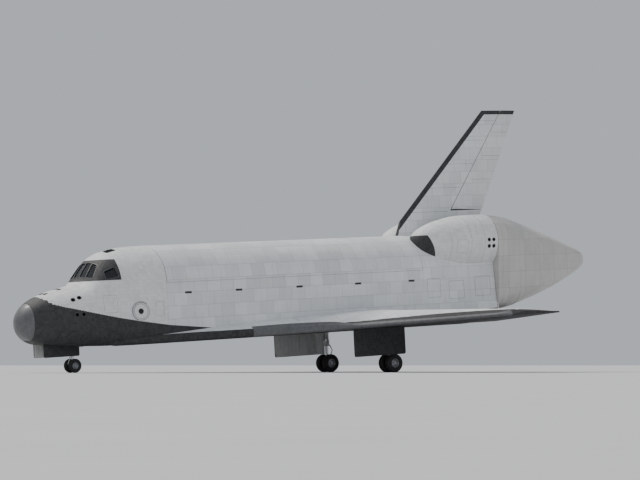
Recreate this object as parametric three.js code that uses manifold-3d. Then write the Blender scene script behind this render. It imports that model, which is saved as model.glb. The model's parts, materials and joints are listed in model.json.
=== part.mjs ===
// Space shuttle orbiter with its ferry tail cone, parked on its gear, as a 1:2 scale model.
// Inside the vehicle group a length is an inch of the full-size orbiter, on its own stations:
// X runs aft (nose tip at 238), Y to starboard, Z up. The group turns that to millimetres at
// half size, pitches the vehicle to its parked attitude and puts the lowest tyre point at Z = 0.
import * as THREE from 'three';
import { mergeVertices } from 'three/addons/utils/BufferGeometryUtils.js';
import Module from 'manifold-3d';

const wasm = await Module();
wasm.setup();

// Scale, attitude and the clearances that every piece keeps
const INCH = 25.4;
const MODEL_SCALE = 0.5;
const PARKED_PITCH = THREE.MathUtils.degToRad(3.5);
const JOINT_GAP = 0.03;
const MOVING_GAP = 0.5;

// Stations along the body
const NOSE_TIP_X = 238;
const NOSE_CAP_X = 264;
const CABIN_FRONT_X = 398;
const CABIN_AFT_X = 576;
const BAY_FRONT_X = 582;
const BAY_AFT_X = 1307;
const BODY_AFT_X = 1515;
const TAIL_CONE_END_X = 1900;
const SILL_Z = 414;
const BELLY_Z = 276;
const BAY_HALF_WIDTH = 105;

// Wall thicknesses
const CABIN_WALL = 12;
const BAY_WALL = 10;
const DOOR_WALL = 5;
const AFT_WALL = 9;
const TAIL_CONE_WALL = 6;
const CABIN_BULKHEAD = 8;
const DECK_THICKNESS = 3;
const PANE_THICKNESS = 1.5;

// Limits beyond the vehicle, for cuts that go right through it
const FAR_FRONT_X = 200;
const FAR_AFT_X = 1950;
const FAR_Y = 700;
const FAR_LOW_Z = 100;
const FAR_HIGH_Z = 1000;

// Landing gear and the ground under it
const MAIN_GEAR_X = 1172;
const MAIN_GEAR_Y = 136;
const MAIN_TYRE_RADIUS = 22.25;
const MAIN_TYRE_WIDTH = 16;
const MAIN_TYRE_OFFSET = 14;
const MAIN_GROUND_Z = 171;
const NOSE_GEAR_X = 378;
const NOSE_TYRE_RADIUS = 16;
const NOSE_TYRE_WIDTH = 8.8;
const NOSE_TYRE_OFFSET = 10.5;
const TYRE_SEGMENTS = 32;

// Wing, tail and control surfaces
const DIHEDRAL = THREE.MathUtils.degToRad(3.5);
const ELEVON_HINGE_X = 1387;
const ELEVON_SPANS = [
  ['inboard', 134, 281.5],
  ['outboard', 283.3, 452],
];
const ELEVON_AFT_X = 1560;
const FIN_FOOT_Z = 470;
const FIN_ROOT_Z = 500;
const FIN_TIP_Z = 816;
const RUDDER_BASE_Z = 562;
const RUDDER_HINGE_ROOT_X = 1440;
const RUDDER_HINGE_TIP_X = 1660;
const FLAP_HINGE_X = 1532;
const FLAP_HINGE_Z = 289;
const FLAP_END_X = 1613;
const FLAP_HALF_WIDTH = 120;

const groundZ = (x) => MAIN_GROUND_Z - (x - MAIN_GEAR_X) * Math.tan(PARKED_PITCH);
const wheelCentreZ = (x, radius) => groundZ(x) + radius / Math.cos(PARKED_PITCH);
const alongFin = (z, [root, tip]) => THREE.MathUtils.mapLinear(z, FIN_ROOT_Z, FIN_TIP_Z, root, tip);
const rudderHingeX = (z) => alongFin(z, [RUDDER_HINGE_ROOT_X, RUDDER_HINGE_TIP_X]);

// Body sections: station, belly height, flat belly half-width, widest half-width and its height,
// shoulder half-width and its height, crown height
const BODY_SECTIONS = [
  { x: 238, bellyZ: 332, flat: 2, wide: 7, wideZ: 338, shoulder: 6.5, shoulderZ: 339, topZ: 344 },
  { x: 242, bellyZ: 320, flat: 5, wide: 19, wideZ: 337, shoulder: 18.5, shoulderZ: 341, topZ: 356 },
  { x: 251, bellyZ: 308, flat: 9, wide: 33, wideZ: 337, shoulder: 32, shoulderZ: 343, topZ: 370 },
  { x: 264, bellyZ: 299, flat: 17, wide: 45, wideZ: 335, shoulder: 44, shoulderZ: 347, topZ: 382 },
  { x: 292, bellyZ: 289, flat: 32, wide: 60, wideZ: 332, shoulder: 57, shoulderZ: 353, topZ: 397 },
  { x: 335, bellyZ: 283, flat: 46, wide: 74, wideZ: 330, shoulder: 69, shoulderZ: 362, topZ: 410 },
  { x: 385, bellyZ: 279.5, flat: 60, wide: 86, wideZ: 328, shoulder: 78, shoulderZ: 376, topZ: 421 },
  { x: 398, bellyZ: 279, flat: 62, wide: 88, wideZ: 327, shoulder: 80, shoulderZ: 384, topZ: 428 },
  { x: 415, bellyZ: 278, flat: 66, wide: 91, wideZ: 326, shoulder: 82, shoulderZ: 394, topZ: 453 },
  { x: 438, bellyZ: 277.5, flat: 70, wide: 94, wideZ: 326, shoulder: 85, shoulderZ: 402, topZ: 480 },
  { x: 462, bellyZ: 277, flat: 74, wide: 97, wideZ: 324, shoulder: 88, shoulderZ: 406, topZ: 492 },
  { x: 495, bellyZ: 276, flat: 80, wide: 100, wideZ: 320, shoulder: 93, shoulderZ: 409, topZ: 499 },
  { x: 535, bellyZ: 276, flat: 90, wide: 103, wideZ: 312, shoulder: 99, shoulderZ: 412, topZ: 502 },
  { x: 576, bellyZ: 276, flat: 98, wide: 105, wideZ: 300, shoulder: 104, shoulderZ: 414, topZ: 503 },
  { x: 620, bellyZ: 276, flat: 103, wide: 105, wideZ: 290, shoulder: 105, shoulderZ: 414, topZ: 503 },
  { x: 1307, bellyZ: 276, flat: 103, wide: 105, wideZ: 290, shoulder: 105, shoulderZ: 414, topZ: 503 },
  { x: 1400, bellyZ: 276, flat: 110, wide: 115, wideZ: 292, shoulder: 110, shoulderZ: 418, topZ: 504 },
  { x: 1515, bellyZ: 283, flat: 120, wide: 129, wideZ: 306, shoulder: 118, shoulderZ: 430, topZ: 505 },
];

// Tail cone sections, in the same columns and one more; a crown fullness over 2 squares the crown,
// so that the cone starts as wide as the two pods ahead of it
const CONE_COLUMNS = ['x', 'bellyZ', 'flat', 'wide', 'wideZ', 'shoulder', 'shoulderZ', 'topZ', 'full'];
const TAIL_CONE_SECTIONS = [
  [1516, 306, 92, 136, 350, 146, 470, 549, 3.2],
  [1560, 310, 86, 134, 356, 142, 468, 546, 3.1],
  [1640, 326, 70, 118, 370, 121, 464, 529, 2.6],
  [1740, 352, 48, 89, 385, 88, 455, 500, 2.2],
  [1830, 382, 28, 56, 403, 54, 440, 469, 2],
  [1882, 404, 14, 31, 416, 30, 432, 447, 2],
  [1900, 415, 6, 17, 421, 16, 427, 436, 2],
].map((row) => Object.fromEntries(row.map((value, index) => [CONE_COLUMNS[index], value])));

// Wing sections: span station, leading edge, height behind the nose radius, station and height of
// the thickest point, trailing edge
const WING_SECTIONS = [
  { y: 80, leadX: 430, noseRise: 20, thickX: 1130, thick: 46, trailX: 1507 },
  { y: 106, leadX: 524, noseRise: 20, thickX: 1130, thick: 46, trailX: 1507 },
  { y: 137, leadX: 705, noseRise: 19, thickX: 1130, thick: 46, trailX: 1501 },
  { y: 170, leadX: 905, noseRise: 18, thickX: 1130, thick: 44, trailX: 1495 },
  { y: 190, leadX: 982, noseRise: 16, thickX: 1135, thick: 42, trailX: 1492 },
  { y: 205, leadX: 1013, noseRise: 15, thickX: 1140, thick: 40, trailX: 1489 },
  { y: 235, leadX: 1045, noseRise: 14, thickX: 1150, thick: 37, trailX: 1484 },
  { y: 330, leadX: 1140, noseRise: 11, thickX: 1215, thick: 28, trailX: 1467 },
  { y: 430, leadX: 1240, noseRise: 8, thickX: 1295, thick: 18, trailX: 1449 },
  { y: 456, leadX: 1266, noseRise: 7, thickX: 1315, thick: 15, trailX: 1445 },
  { y: 468, leadX: 1290, noseRise: 4, thickX: 1335, thick: 8, trailX: 1432 },
];

// Leading edge in plan, where its carbon panels run
const PANEL_EDGE = [
  [775, 148.5],
  [905, 170],
  [982, 190],
  [1013, 205],
  [1045, 235],
  [1266, 456],
  [1290, 468],
];
const PANEL_DEPTH = 14;
const PANEL_REACH = 30;

// Engine pod sections: station, centre, half-width and half-height
const POD_SECTIONS = [
  { x: 1308.5, y: 62, z: 480, wide: 14, high: 14 },
  { x: 1320, y: 64, z: 480, wide: 30, high: 29 },
  { x: 1345, y: 68, z: 480, wide: 44, high: 44 },
  { x: 1385, y: 72, z: 480, wide: 56, high: 57 },
  { x: 1440, y: 76, z: 480, wide: 65, high: 66 },
  { x: 1515, y: 79, z: 480, wide: 66, high: 68 },
];

// Finishes: colour, roughness, metalness
const FINISHES = {
  blackTile: [0x24262a, 0.7, 0.0],
  carbon: [0x55565a, 0.55, 0.1],
  whiteBlanket: [0xdedfdc, 0.85, 0.0],
  fairing: [0xe4e2dc, 0.6, 0.0],
  bayLiner: [0xb9b6a4, 0.8, 0.0],
  glass: [0x14181c, 0.08, 0.0],
  cabinGrey: [0x8d9292, 0.7, 0.0],
  gearWhite: [0xd8d9d6, 0.45, 0.1],
  gearSteel: [0x9a9da1, 0.3, 0.9],
  tyre: [0x1b1b1c, 0.9, 0.0],
  engineSteel: [0x77797c, 0.45, 0.9],
};

const vehicle = new THREE.Group();

function material(finish) {
  const [color, roughness, metalness] = FINISHES[finish];
  return new THREE.MeshStandardMaterial({ color, roughness, metalness });
}

function manifoldOf(geometry) {
  const bare = geometry.clone();
  bare.deleteAttribute('normal');
  bare.deleteAttribute('uv');
  const merged = mergeVertices(bare, 1e-4);
  return new wasm.Manifold(new wasm.Mesh({
    numProp: 3,
    vertProperties: Float32Array.from(merged.attributes.position.array),
    triVerts: Uint32Array.from(merged.index.array),
  }));
}

function addPiece(name, solid, finish) {
  const mesh = solid.getMesh();
  const geometry = new THREE.BufferGeometry();
  geometry.setAttribute('position', new THREE.BufferAttribute(Float32Array.from(mesh.vertProperties), 3));
  geometry.setIndex(new THREE.BufferAttribute(Uint32Array.from(mesh.triVerts), 1));
  geometry.computeVertexNormals();
  const piece = new THREE.Mesh(geometry, material(finish));
  piece.name = name;
  vehicle.add(piece);
}

function mirrored(solid) {
  return solid.mirror([0, 1, 0]);
}

// Closed loft through rings of equal length; each end ring is flat. A port panel is split along
// the other diagonal, so that both sides of the vehicle match
function loft(rings) {
  const count = rings[0].length;
  const positions = rings.flat().flatMap((point) => [point.x, point.y, point.z]);
  const indices = [];
  for (let row = 0; row < rings.length - 1; row += 1) {
    for (let column = 0; column < count; column += 1) {
      const next = (column + 1) % count;
      const a = row * count + column;
      const b = row * count + next;
      if (rings[row][column].y + rings[row][next].y < 0) {
        indices.push(a, b, b + count, a, b + count, a + count);
      } else {
        indices.push(a, b, a + count, b, b + count, a + count);
      }
    }
  }
  for (const last of [false, true]) {
    const start = last ? (rings.length - 1) * count : 0;
    for (const [a, b, c] of capTriangles(last ? rings.at(-1) : rings[0])) {
      indices.push(start + a, start + (last ? b : c), start + (last ? c : b));
    }
  }
  const build = (order) => {
    const geometry = new THREE.BufferGeometry();
    geometry.setAttribute('position', new THREE.Float32BufferAttribute(positions, 3));
    geometry.setIndex(order);
    return manifoldOf(geometry);
  };
  const solid = build(indices);
  if (solid.volume() > 0) {
    return solid;
  }
  const turned = [];
  for (let corner = 0; corner < indices.length; corner += 3) {
    turned.push(indices[corner], indices[corner + 2], indices[corner + 1]);
  }
  return build(turned);
}

// Triangles of a flat ring, wound the same way as the ring itself
function capTriangles(ring) {
  const normal = new THREE.Vector3();
  ring.forEach((point, index) => {
    normal.add(new THREE.Vector3().crossVectors(point, ring[(index + 1) % ring.length]));
  });
  normal.normalize();
  const across = new THREE.Vector3(0, 0, 1);
  if (Math.abs(normal.z) > 0.9) {
    across.set(1, 0, 0);
  }
  const u = new THREE.Vector3().crossVectors(across, normal).normalize();
  const v = new THREE.Vector3().crossVectors(normal, u);
  const flat = ring.map((point) => new THREE.Vector2(point.dot(u), point.dot(v)));
  return THREE.ShapeUtils.triangulateShape(flat, []);
}

function box(x0, x1, y0, y1, z0, z1) {
  const geometry = new THREE.BoxGeometry(x1 - x0, y1 - y0, z1 - z0);
  geometry.translate((x0 + x1) / 2, (y0 + y1) / 2, (z0 + z1) / 2);
  return manifoldOf(geometry);
}

// Prism between two offsets along one axis, from an outline in the other two axes
function prism(axis, outline, from, to) {
  const place = {
    x: ([y, z], offset) => new THREE.Vector3(offset, y, z),
    y: ([x, z], offset) => new THREE.Vector3(x, offset, z),
    z: ([x, y], offset) => new THREE.Vector3(x, y, offset),
  }[axis];
  return loft([from, to].map((offset) => outline.map((point) => place(point, offset))));
}

// Round bar or cone between two points
function bar(start, end, startRadius, endRadius = startRadius, sides = 16) {
  const from = new THREE.Vector3(...start);
  const to = new THREE.Vector3(...end);
  const along = to.clone().sub(from).normalize();
  const helper = Math.abs(along.z) > 0.9 ? new THREE.Vector3(1, 0, 0) : new THREE.Vector3(0, 0, 1);
  const u = new THREE.Vector3().crossVectors(along, helper).normalize();
  const v = new THREE.Vector3().crossVectors(along, u);
  const ringAt = (centre, radius) => Array.from({ length: sides }, (_, index) => {
    const angle = (index / sides) * Math.PI * 2;
    return centre.clone()
      .addScaledVector(u, radius * Math.cos(angle))
      .addScaledVector(v, radius * Math.sin(angle));
  });
  return loft([ringAt(from, startRadius), ringAt(to, endRadius)]);
}

// Solid of revolution about a wheel's axle, from half-width and radius pairs
function wheelSolid(profile, centreX, centreY, centreZ) {
  const geometry = new THREE.LatheGeometry(
    profile.map(([radius, width]) => new THREE.Vector2(radius, width)),
    TYRE_SEGMENTS,
  );
  geometry.rotateY(PARKED_PITCH);
  geometry.translate(centreX, centreY, centreZ);
  return manifoldOf(geometry);
}

// Cross-section ring of the body, drawn in by a wall thickness
function bodyRing(section, wall = 0) {
  const LOWER_STEPS = 4;
  const CROWN_STEPS = 8;
  const flat = Math.max(section.flat - wall, 1);
  const wide = section.wide - wall;
  const shoulder = section.shoulder - wall;
  const bellyZ = section.bellyZ + wall;
  const wideZ = Math.max(section.wideZ, bellyZ + 1);
  const shoulderZ = Math.max(section.shoulderZ, wideZ + 1);
  const topZ = section.topZ - wall;
  const power = 2 / (section.full ?? 2);
  const half = [];
  for (let step = 0; step <= LOWER_STEPS; step += 1) {
    const angle = (step / LOWER_STEPS) * Math.PI / 2;
    half.push([flat + (wide - flat) * Math.sin(angle), wideZ - (wideZ - bellyZ) * Math.cos(angle)]);
  }
  for (let step = 0; step < CROWN_STEPS; step += 1) {
    const angle = (step / CROWN_STEPS) * Math.PI / 2;
    half.push([
      shoulder * Math.cos(angle) ** power,
      shoulderZ + (topZ - shoulderZ) * Math.sin(angle) ** power,
    ]);
  }
  const port = half.map(([y, z]) => [-y, z]).reverse();
  return [...half, [0, topZ], ...port].map(([y, z]) => new THREE.Vector3(section.x, y, z));
}

function bodySolid(sections, wall = 0, shift = 0) {
  return loft(sections.map((section) => {
    const ring = bodyRing(section, wall);
    ring.forEach((point) => {
      point.x += shift;
    });
    return ring;
  }));
}

// Height of the wing's lower surface at a span station
function wingBaseZ(y) {
  return BELLY_Z + Math.max(y - BAY_HALF_WIDTH, 0) * Math.tan(DIHEDRAL);
}

// Height of the wing's upper surface above its base, from nose radius to trailing edge
function wingRise(section, x) {
  const noseEndX = section.leadX + 2 * section.noseRise;
  const edgeRise = 1.2;
  const fallBulge = 0.45;
  if (x < section.thickX) {
    const t = (x - noseEndX) / (section.thickX - noseEndX);
    return section.noseRise + (section.thick - section.noseRise) * Math.sin((t * Math.PI) / 2);
  }
  const t = (x - section.thickX) / (section.trailX - section.thickX);
  return edgeRise + (section.thick - edgeRise) * (1 - t) * (1 + fallBulge * t);
}

function wingRing(section) {
  const NOSE_STEPS = 4;
  const RISE_STEPS = 4;
  const FALL_STEPS = 4;
  const base = wingBaseZ(section.y);
  const nose = section.noseRise;
  const noseDrop = nose * 0.4;
  const edgeZ = base + noseDrop;
  const noseEndX = section.leadX + 2 * nose;
  const points = [[section.trailX, base], [ELEVON_HINGE_X, base], [section.leadX + nose, base]];
  for (let step = 1; step <= NOSE_STEPS; step += 1) {
    const angle = (step / NOSE_STEPS) * Math.PI / 2;
    points.push([section.leadX + nose * (1 - Math.sin(angle)), edgeZ - noseDrop * Math.cos(angle)]);
  }
  for (let step = 1; step <= NOSE_STEPS; step += 1) {
    const angle = (step / NOSE_STEPS) * Math.PI / 2;
    points.push([noseEndX - 2 * nose * Math.cos(angle), edgeZ + (nose - noseDrop) * Math.sin(angle)]);
  }
  for (let step = 1; step <= RISE_STEPS; step += 1) {
    const x = THREE.MathUtils.lerp(noseEndX, section.thickX, step / RISE_STEPS);
    points.push([x, base + wingRise(section, x)]);
  }
  for (let step = 1; step <= FALL_STEPS; step += 1) {
    const x = THREE.MathUtils.lerp(section.thickX, section.trailX, step / FALL_STEPS);
    points.push([x, base + wingRise(section, x)]);
  }
  return points.map(([x, z]) => new THREE.Vector3(x, section.y, z));
}

// Wing section values at any span station between two of the table's
function wingSectionAt(y) {
  const after = WING_SECTIONS.findIndex((section) => section.y >= y);
  const [a, b] = [WING_SECTIONS[after - 1], WING_SECTIONS[after]];
  const t = (y - a.y) / (b.y - a.y);
  return Object.fromEntries(Object.keys(a).map((key) => [key, THREE.MathUtils.lerp(a[key], b[key], t)]));
}

// Hinge point of an elevon: halfway up the wing at the hinge station
function elevonHinge(y) {
  const section = wingSectionAt(y);
  const thick = wingRise(section, ELEVON_HINGE_X);
  return { point: [ELEVON_HINGE_X, y, wingBaseZ(y) + thick / 2], radius: thick / 2 };
}

function offsetPolyline(points, distance) {
  return points.map((point, index) => {
    const before = new THREE.Vector2(...points[Math.max(index - 1, 0)]);
    const after = new THREE.Vector2(...points[Math.min(index + 1, points.length - 1)]);
    const along = after.sub(before).normalize();
    return [point[0] + along.y * distance, point[1] - along.x * distance];
  });
}

const outerBody = bodySolid(BODY_SECTIONS);
const outerBodyWithGap = bodySolid(BODY_SECTIONS, -JOINT_GAP)
  .add(bodySolid(BODY_SECTIONS, -JOINT_GAP, JOINT_GAP));
const column = (x0, x1, y0, y1) => box(x0, x1, y0, y1, FAR_LOW_Z, FAR_HIGH_Z);
const slab = (x0, x1) => column(x0, x1, -FAR_Y, FAR_Y);
const sided = (side, y0, y1) => [side * y0, side * y1].sort((a, b) => a - b);

// Nose cap
addPiece('nose_cap', outerBody.intersect(slab(FAR_FRONT_X, NOSE_CAP_X)), 'carbon');

// Nose thruster module, let into the top of the nose
const FORWARD_RCS = { x0: 296, x1: 382, y: 46, z: 372 };
const rcsRegion = (grow) => box(
  FORWARD_RCS.x0 - grow, FORWARD_RCS.x1 + grow, -FORWARD_RCS.y - grow, FORWARD_RCS.y + grow,
  FORWARD_RCS.z - grow, FAR_HIGH_Z,
);
addPiece('forward_rcs_module', outerBody.intersect(rcsRegion(0)), 'blackTile');

// Crew cabin: hollow, with its windows and side hatch cut. Its inside is set aft by a part of the
// wall, because the nose slopes
const INSIDE_SHIFT = 0.6;
const cabinInside = (wall) => bodySolid(BODY_SECTIONS, wall, wall * INSIDE_SHIFT)
  .intersect(slab(CABIN_FRONT_X + wall * INSIDE_SHIFT, BAY_AFT_X));
const NOSE_WELL = { x0: 292, x1: 390, y: 22, z: 352 };
const FRONT_PANES = [
  [[2.5, 437], [2.5, 468], [23, 467], [27, 435]],
  [[30.5, 435], [26.5, 466], [44, 462], [54, 433]],
];
const SIDE_PANE = [[433, 428], [433, 446], [458, 455], [463, 434]];
const OVERHEAD_PANE = { x0: 466, x1: 488, y0: 7, y1: 27 };
const WINDSHIELD_ZONE = { x0: 400, x1: 464, y: 95, z0: 426, z1: 483 };
const OVERHEAD_ZONE = { x0: 465, x1: 492, y: 30, z0: 470, z1: 500 };
const HATCH = {
  x: 508, z: 352, outY: -115, inY: -60, radius: 20, windowRadius: 5, clearance: 0.9, wall: 5, sides: 28,
};

function cabinWindows() {
  const cuts = [];
  for (const side of [-1, 1]) {
    for (const pane of FRONT_PANES) {
      const outline = pane.map(([y, z]) => [side * y, z]);
      cuts.push(prism('x', outline, CABIN_FRONT_X - 6, 452));
    }
    cuts.push(prism('y', SIDE_PANE, side * 40, side * 110));
    cuts.push(box(
      OVERHEAD_PANE.x0, OVERHEAD_PANE.x1, ...sided(side, OVERHEAD_PANE.y0, OVERHEAD_PANE.y1),
      OVERHEAD_ZONE.z0, FAR_HIGH_Z,
    ));
  }
  return cuts;
}

const hatchBar = (radius) => bar(
  [HATCH.x, HATCH.outY, HATCH.z], [HATCH.x, HATCH.inY, HATCH.z], radius, radius, HATCH.sides,
);
let forwardFuselage = outerBody.intersect(slab(NOSE_CAP_X + JOINT_GAP, CABIN_AFT_X))
  .subtract(cabinInside(CABIN_WALL))
  .subtract(rcsRegion(JOINT_GAP))
  .subtract(box(NOSE_WELL.x0, NOSE_WELL.x1, -NOSE_WELL.y, NOSE_WELL.y, FAR_LOW_Z, NOSE_WELL.z))
  .subtract(hatchBar(HATCH.radius + HATCH.clearance));
for (const cut of cabinWindows()) {
  forwardFuselage = forwardFuselage.subtract(cut);
}
addPiece('forward_fuselage', forwardFuselage, 'whiteBlanket');

// Window panes, each set a sheet just inside its openings
const paneSheet = cabinInside(CABIN_WALL + JOINT_GAP).subtract(cabinInside(CABIN_WALL + PANE_THICKNESS));
for (const [name, zone] of [['windshield_panes', WINDSHIELD_ZONE], ['overhead_panes', OVERHEAD_ZONE]]) {
  addPiece(name, paneSheet.intersect(box(zone.x0, zone.x1, -zone.y, zone.y, zone.z0, zone.z1)), 'glass');
}

// Side hatch with its round window, cut from the port side of the cabin wall
addPiece('side_hatch', outerBody.intersect(hatchBar(HATCH.radius))
  .subtract(bodySolid(BODY_SECTIONS, HATCH.wall))
  .subtract(hatchBar(HATCH.windowRadius)), 'whiteBlanket');

// Cabin inside: aft bulkhead, flight deck floor, console and the two front seats
const AFT_PANE = { y0: 6, y1: 22, z0: 462, z1: 482, rim: 4, rimZ: 3 };
const bulkheadX = CABIN_AFT_X - CABIN_BULKHEAD;
const cabinLining = cabinInside(CABIN_WALL + JOINT_GAP);
let aftBulkhead = cabinLining.intersect(slab(bulkheadX, CABIN_AFT_X));
for (const side of [-1, 1]) {
  aftBulkhead = aftBulkhead.subtract(box(
    bulkheadX - 1, CABIN_AFT_X + 1, ...sided(side, AFT_PANE.y0, AFT_PANE.y1), AFT_PANE.z0, AFT_PANE.z1,
  ));
}
addPiece('cabin_aft_bulkhead', aftBulkhead, 'bayLiner');
addPiece('aft_panes', box(
  bulkheadX - PANE_THICKNESS, bulkheadX - JOINT_GAP, -AFT_PANE.y1 - AFT_PANE.rim, AFT_PANE.y1 + AFT_PANE.rim,
  AFT_PANE.z0 - AFT_PANE.rimZ, AFT_PANE.z1 + AFT_PANE.rimZ,
), 'glass');

const DECK_X = 425;
const DECK_Z = 416;
const CONSOLE = { x0: 424, x1: 442, y: 62, topZ: 438 };
addPiece('flight_deck_floor', cabinLining.intersect(box(
  DECK_X, bulkheadX - JOINT_GAP, -FAR_Y, FAR_Y, DECK_Z - DECK_THICKNESS, DECK_Z,
)), 'cabinGrey');
addPiece('instrument_console', cabinInside(CABIN_WALL + PANE_THICKNESS + 0.5).intersect(box(
  CONSOLE.x0, CONSOLE.x1, -CONSOLE.y, CONSOLE.y, DECK_Z + JOINT_GAP, CONSOLE.topZ,
)), 'cabinGrey');

// Seat: its heights are above the deck
const SEAT = { y: 24, half: 9, x0: 458, x1: 477, panZ: 14, panTopZ: 18 };
const SEAT_BACK = { x0: 474, x1: 478, topZ: 48 };
const SEAT_POST = { x0: 463, x1: 473, half: 5, topZ: 15 };
function crewSeat(y) {
  const part = (x0, x1, half, z0, z1) => box(x0, x1, y - half, y + half, DECK_Z + z0, DECK_Z + z1);
  return part(SEAT.x0, SEAT.x1, SEAT.half, SEAT.panZ, SEAT.panTopZ)
    .add(part(SEAT_BACK.x0, SEAT_BACK.x1, SEAT.half, SEAT.panZ, SEAT_BACK.topZ))
    .add(part(SEAT_POST.x0, SEAT_POST.x1, SEAT_POST.half, JOINT_GAP, SEAT_POST.topZ));
}
addPiece('commander_seat', crewSeat(-SEAT.y), 'cabinGrey');
addPiece('pilot_seat', crewSeat(SEAT.y), 'cabinGrey');

// Middle body: a trough open at the sills
const BAY_FLOOR = { half: 70, z: 306, chineZ: 350 };
const bayInsideY = BAY_HALF_WIDTH - BAY_WALL;
const BAY_OUTLINE = [
  [-BAY_FLOOR.half, BAY_FLOOR.z], [BAY_FLOOR.half, BAY_FLOOR.z], [bayInsideY, BAY_FLOOR.chineZ],
  [bayInsideY, FAR_HIGH_Z], [-bayInsideY, FAR_HIGH_Z], [-bayInsideY, BAY_FLOOR.chineZ],
];
const bayTrough = prism('x', BAY_OUTLINE, BAY_FRONT_X, BAY_AFT_X - BAY_WALL);
addPiece('mid_fuselage', outerBody
  .intersect(box(CABIN_AFT_X + JOINT_GAP, BAY_AFT_X - JOINT_GAP, -FAR_Y, FAR_Y, FAR_LOW_Z, SILL_Z))
  .subtract(bayTrough), 'whiteBlanket');

// Payload bay doors, half the crown each, with room at both ends
const DOOR_X = [CABIN_AFT_X + 1.5, BAY_AFT_X - 1];
const doorShell = outerBody
  .intersect(box(...DOOR_X, -FAR_Y, FAR_Y, SILL_Z + MOVING_GAP, FAR_HIGH_Z))
  .subtract(bodySolid(BODY_SECTIONS, DOOR_WALL));
const doorRight = doorShell.intersect(column(...DOOR_X, MOVING_GAP / 2, FAR_Y));
addPiece('payload_bay_door_right', doorRight, 'whiteBlanket');
addPiece('payload_bay_door_left', mirrored(doorRight), 'whiteBlanket');

// Fin: full outline first, because the body, pods and tail cone are cut around it. Its leading
// edge, trailing edge and half thickness are given at the root and at the tip, its profile as
// shares of the chord and of the half thickness
const FIN_LEAD_X = [1280, 1596];
const FIN_TRAIL_X = [1548, 1704];
const FIN_HALF = [13.5, 5.5];
const FIN_PROFILE = [[0, 0.06], [0.03, 0.3], [0.15, 0.6], [0.35, 0.88], [0.58, 1], [0.75, 0.72], [1, 0.22]];
function finRing(z, grow = 0) {
  const leadX = alongFin(z, FIN_LEAD_X) - grow;
  const trailX = alongFin(z, FIN_TRAIL_X) + grow;
  const half = alongFin(z, FIN_HALF) + grow;
  const side = FIN_PROFILE.map(([along, thick]) => [leadX + along * (trailX - leadX), thick * half]);
  const port = side.map(([x, y]) => [x, -y]).reverse();
  return [...side, ...port].map(([x, y]) => new THREE.Vector3(x, y, z));
}
const finSolid = (grow) => loft([finRing(FIN_FOOT_Z, grow), finRing(FIN_TIP_Z + grow, grow)]);

// The fin's foot starts behind the payload bay doors, and rises steeply to the leading edge
const FIN_FOOT_FRONT = [[BAY_AFT_X + 1.5, 503], [1320, 540]];
const finFootCut = prism('y', [
  [FAR_FRONT_X, FAR_LOW_Z], [FIN_FOOT_FRONT[0][0], FAR_LOW_Z], ...FIN_FOOT_FRONT,
  [FAR_FRONT_X, FIN_FOOT_FRONT[1][1]],
], -FAR_Y, FAR_Y);

// Rudder hinge line, with cones about it; a cone's radius follows the fin's thickness
const CONE_BASE_Z = RUDDER_BASE_Z - 60;
const CONE_TIP_Z = FIN_TIP_Z + 40;
const CONE_SIDES = 32;
const hingeCone = (factor, grow) => bar(
  [rudderHingeX(CONE_BASE_Z), 0, CONE_BASE_Z], [rudderHingeX(CONE_TIP_Z), 0, CONE_TIP_Z],
  alongFin(CONE_BASE_Z, FIN_HALF) * factor + grow, alongFin(CONE_TIP_Z, FIN_HALF) * factor + grow,
  CONE_SIDES,
);

// The panels' outer skins reach ahead of the hinge line, up to a line that leans forwards with the
// width, so that both can open about the same line
const PANEL_NOSE_FACTOR = 1.27;
const PANEL_LEAN = 0.93;
const FAR_SIDE = 60;
const behindHinge = loft([CONE_BASE_Z, CONE_TIP_Z].map((z) => [
  [rudderHingeX(z), 0],
  [rudderHingeX(z) - PANEL_LEAN * FAR_SIDE, FAR_SIDE],
  [FAR_AFT_X, FAR_SIDE],
  [FAR_AFT_X, -FAR_SIDE],
  [rudderHingeX(z) - PANEL_LEAN * FAR_SIDE, -FAR_SIDE],
].map(([x, y]) => new THREE.Vector3(x, y, z))));
const aftOfHinge = prism('y', [
  [rudderHingeX(CONE_BASE_Z), CONE_BASE_Z], [FAR_AFT_X, CONE_BASE_Z],
  [FAR_AFT_X, CONE_TIP_Z], [rudderHingeX(CONE_TIP_Z), CONE_TIP_Z],
], -FAR_SIDE, FAR_SIDE);
const finSlab = (halfWidth, bottomZ) =>
  box(FAR_FRONT_X, FAR_AFT_X, -halfWidth, halfWidth, bottomZ, FAR_HIGH_Z);
const coneRoof = { x1: 1620, y: 30, z: TAIL_CONE_SECTIONS[0].topZ + JOINT_GAP };
const rudderCove = hingeCone(PANEL_NOSE_FACTOR, MOVING_GAP)
  .add(behindHinge)
  .intersect(finSlab(FAR_SIDE, RUDDER_BASE_Z - 2 * MOVING_GAP));
addPiece('vertical_fin', finSolid(0)
  .subtract(rudderCove)
  .subtract(outerBodyWithGap)
  .subtract(finFootCut)
  .subtract(box(BODY_AFT_X, coneRoof.x1, -coneRoof.y, coneRoof.y, FAR_LOW_Z, coneRoof.z)), 'whiteBlanket');

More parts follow.
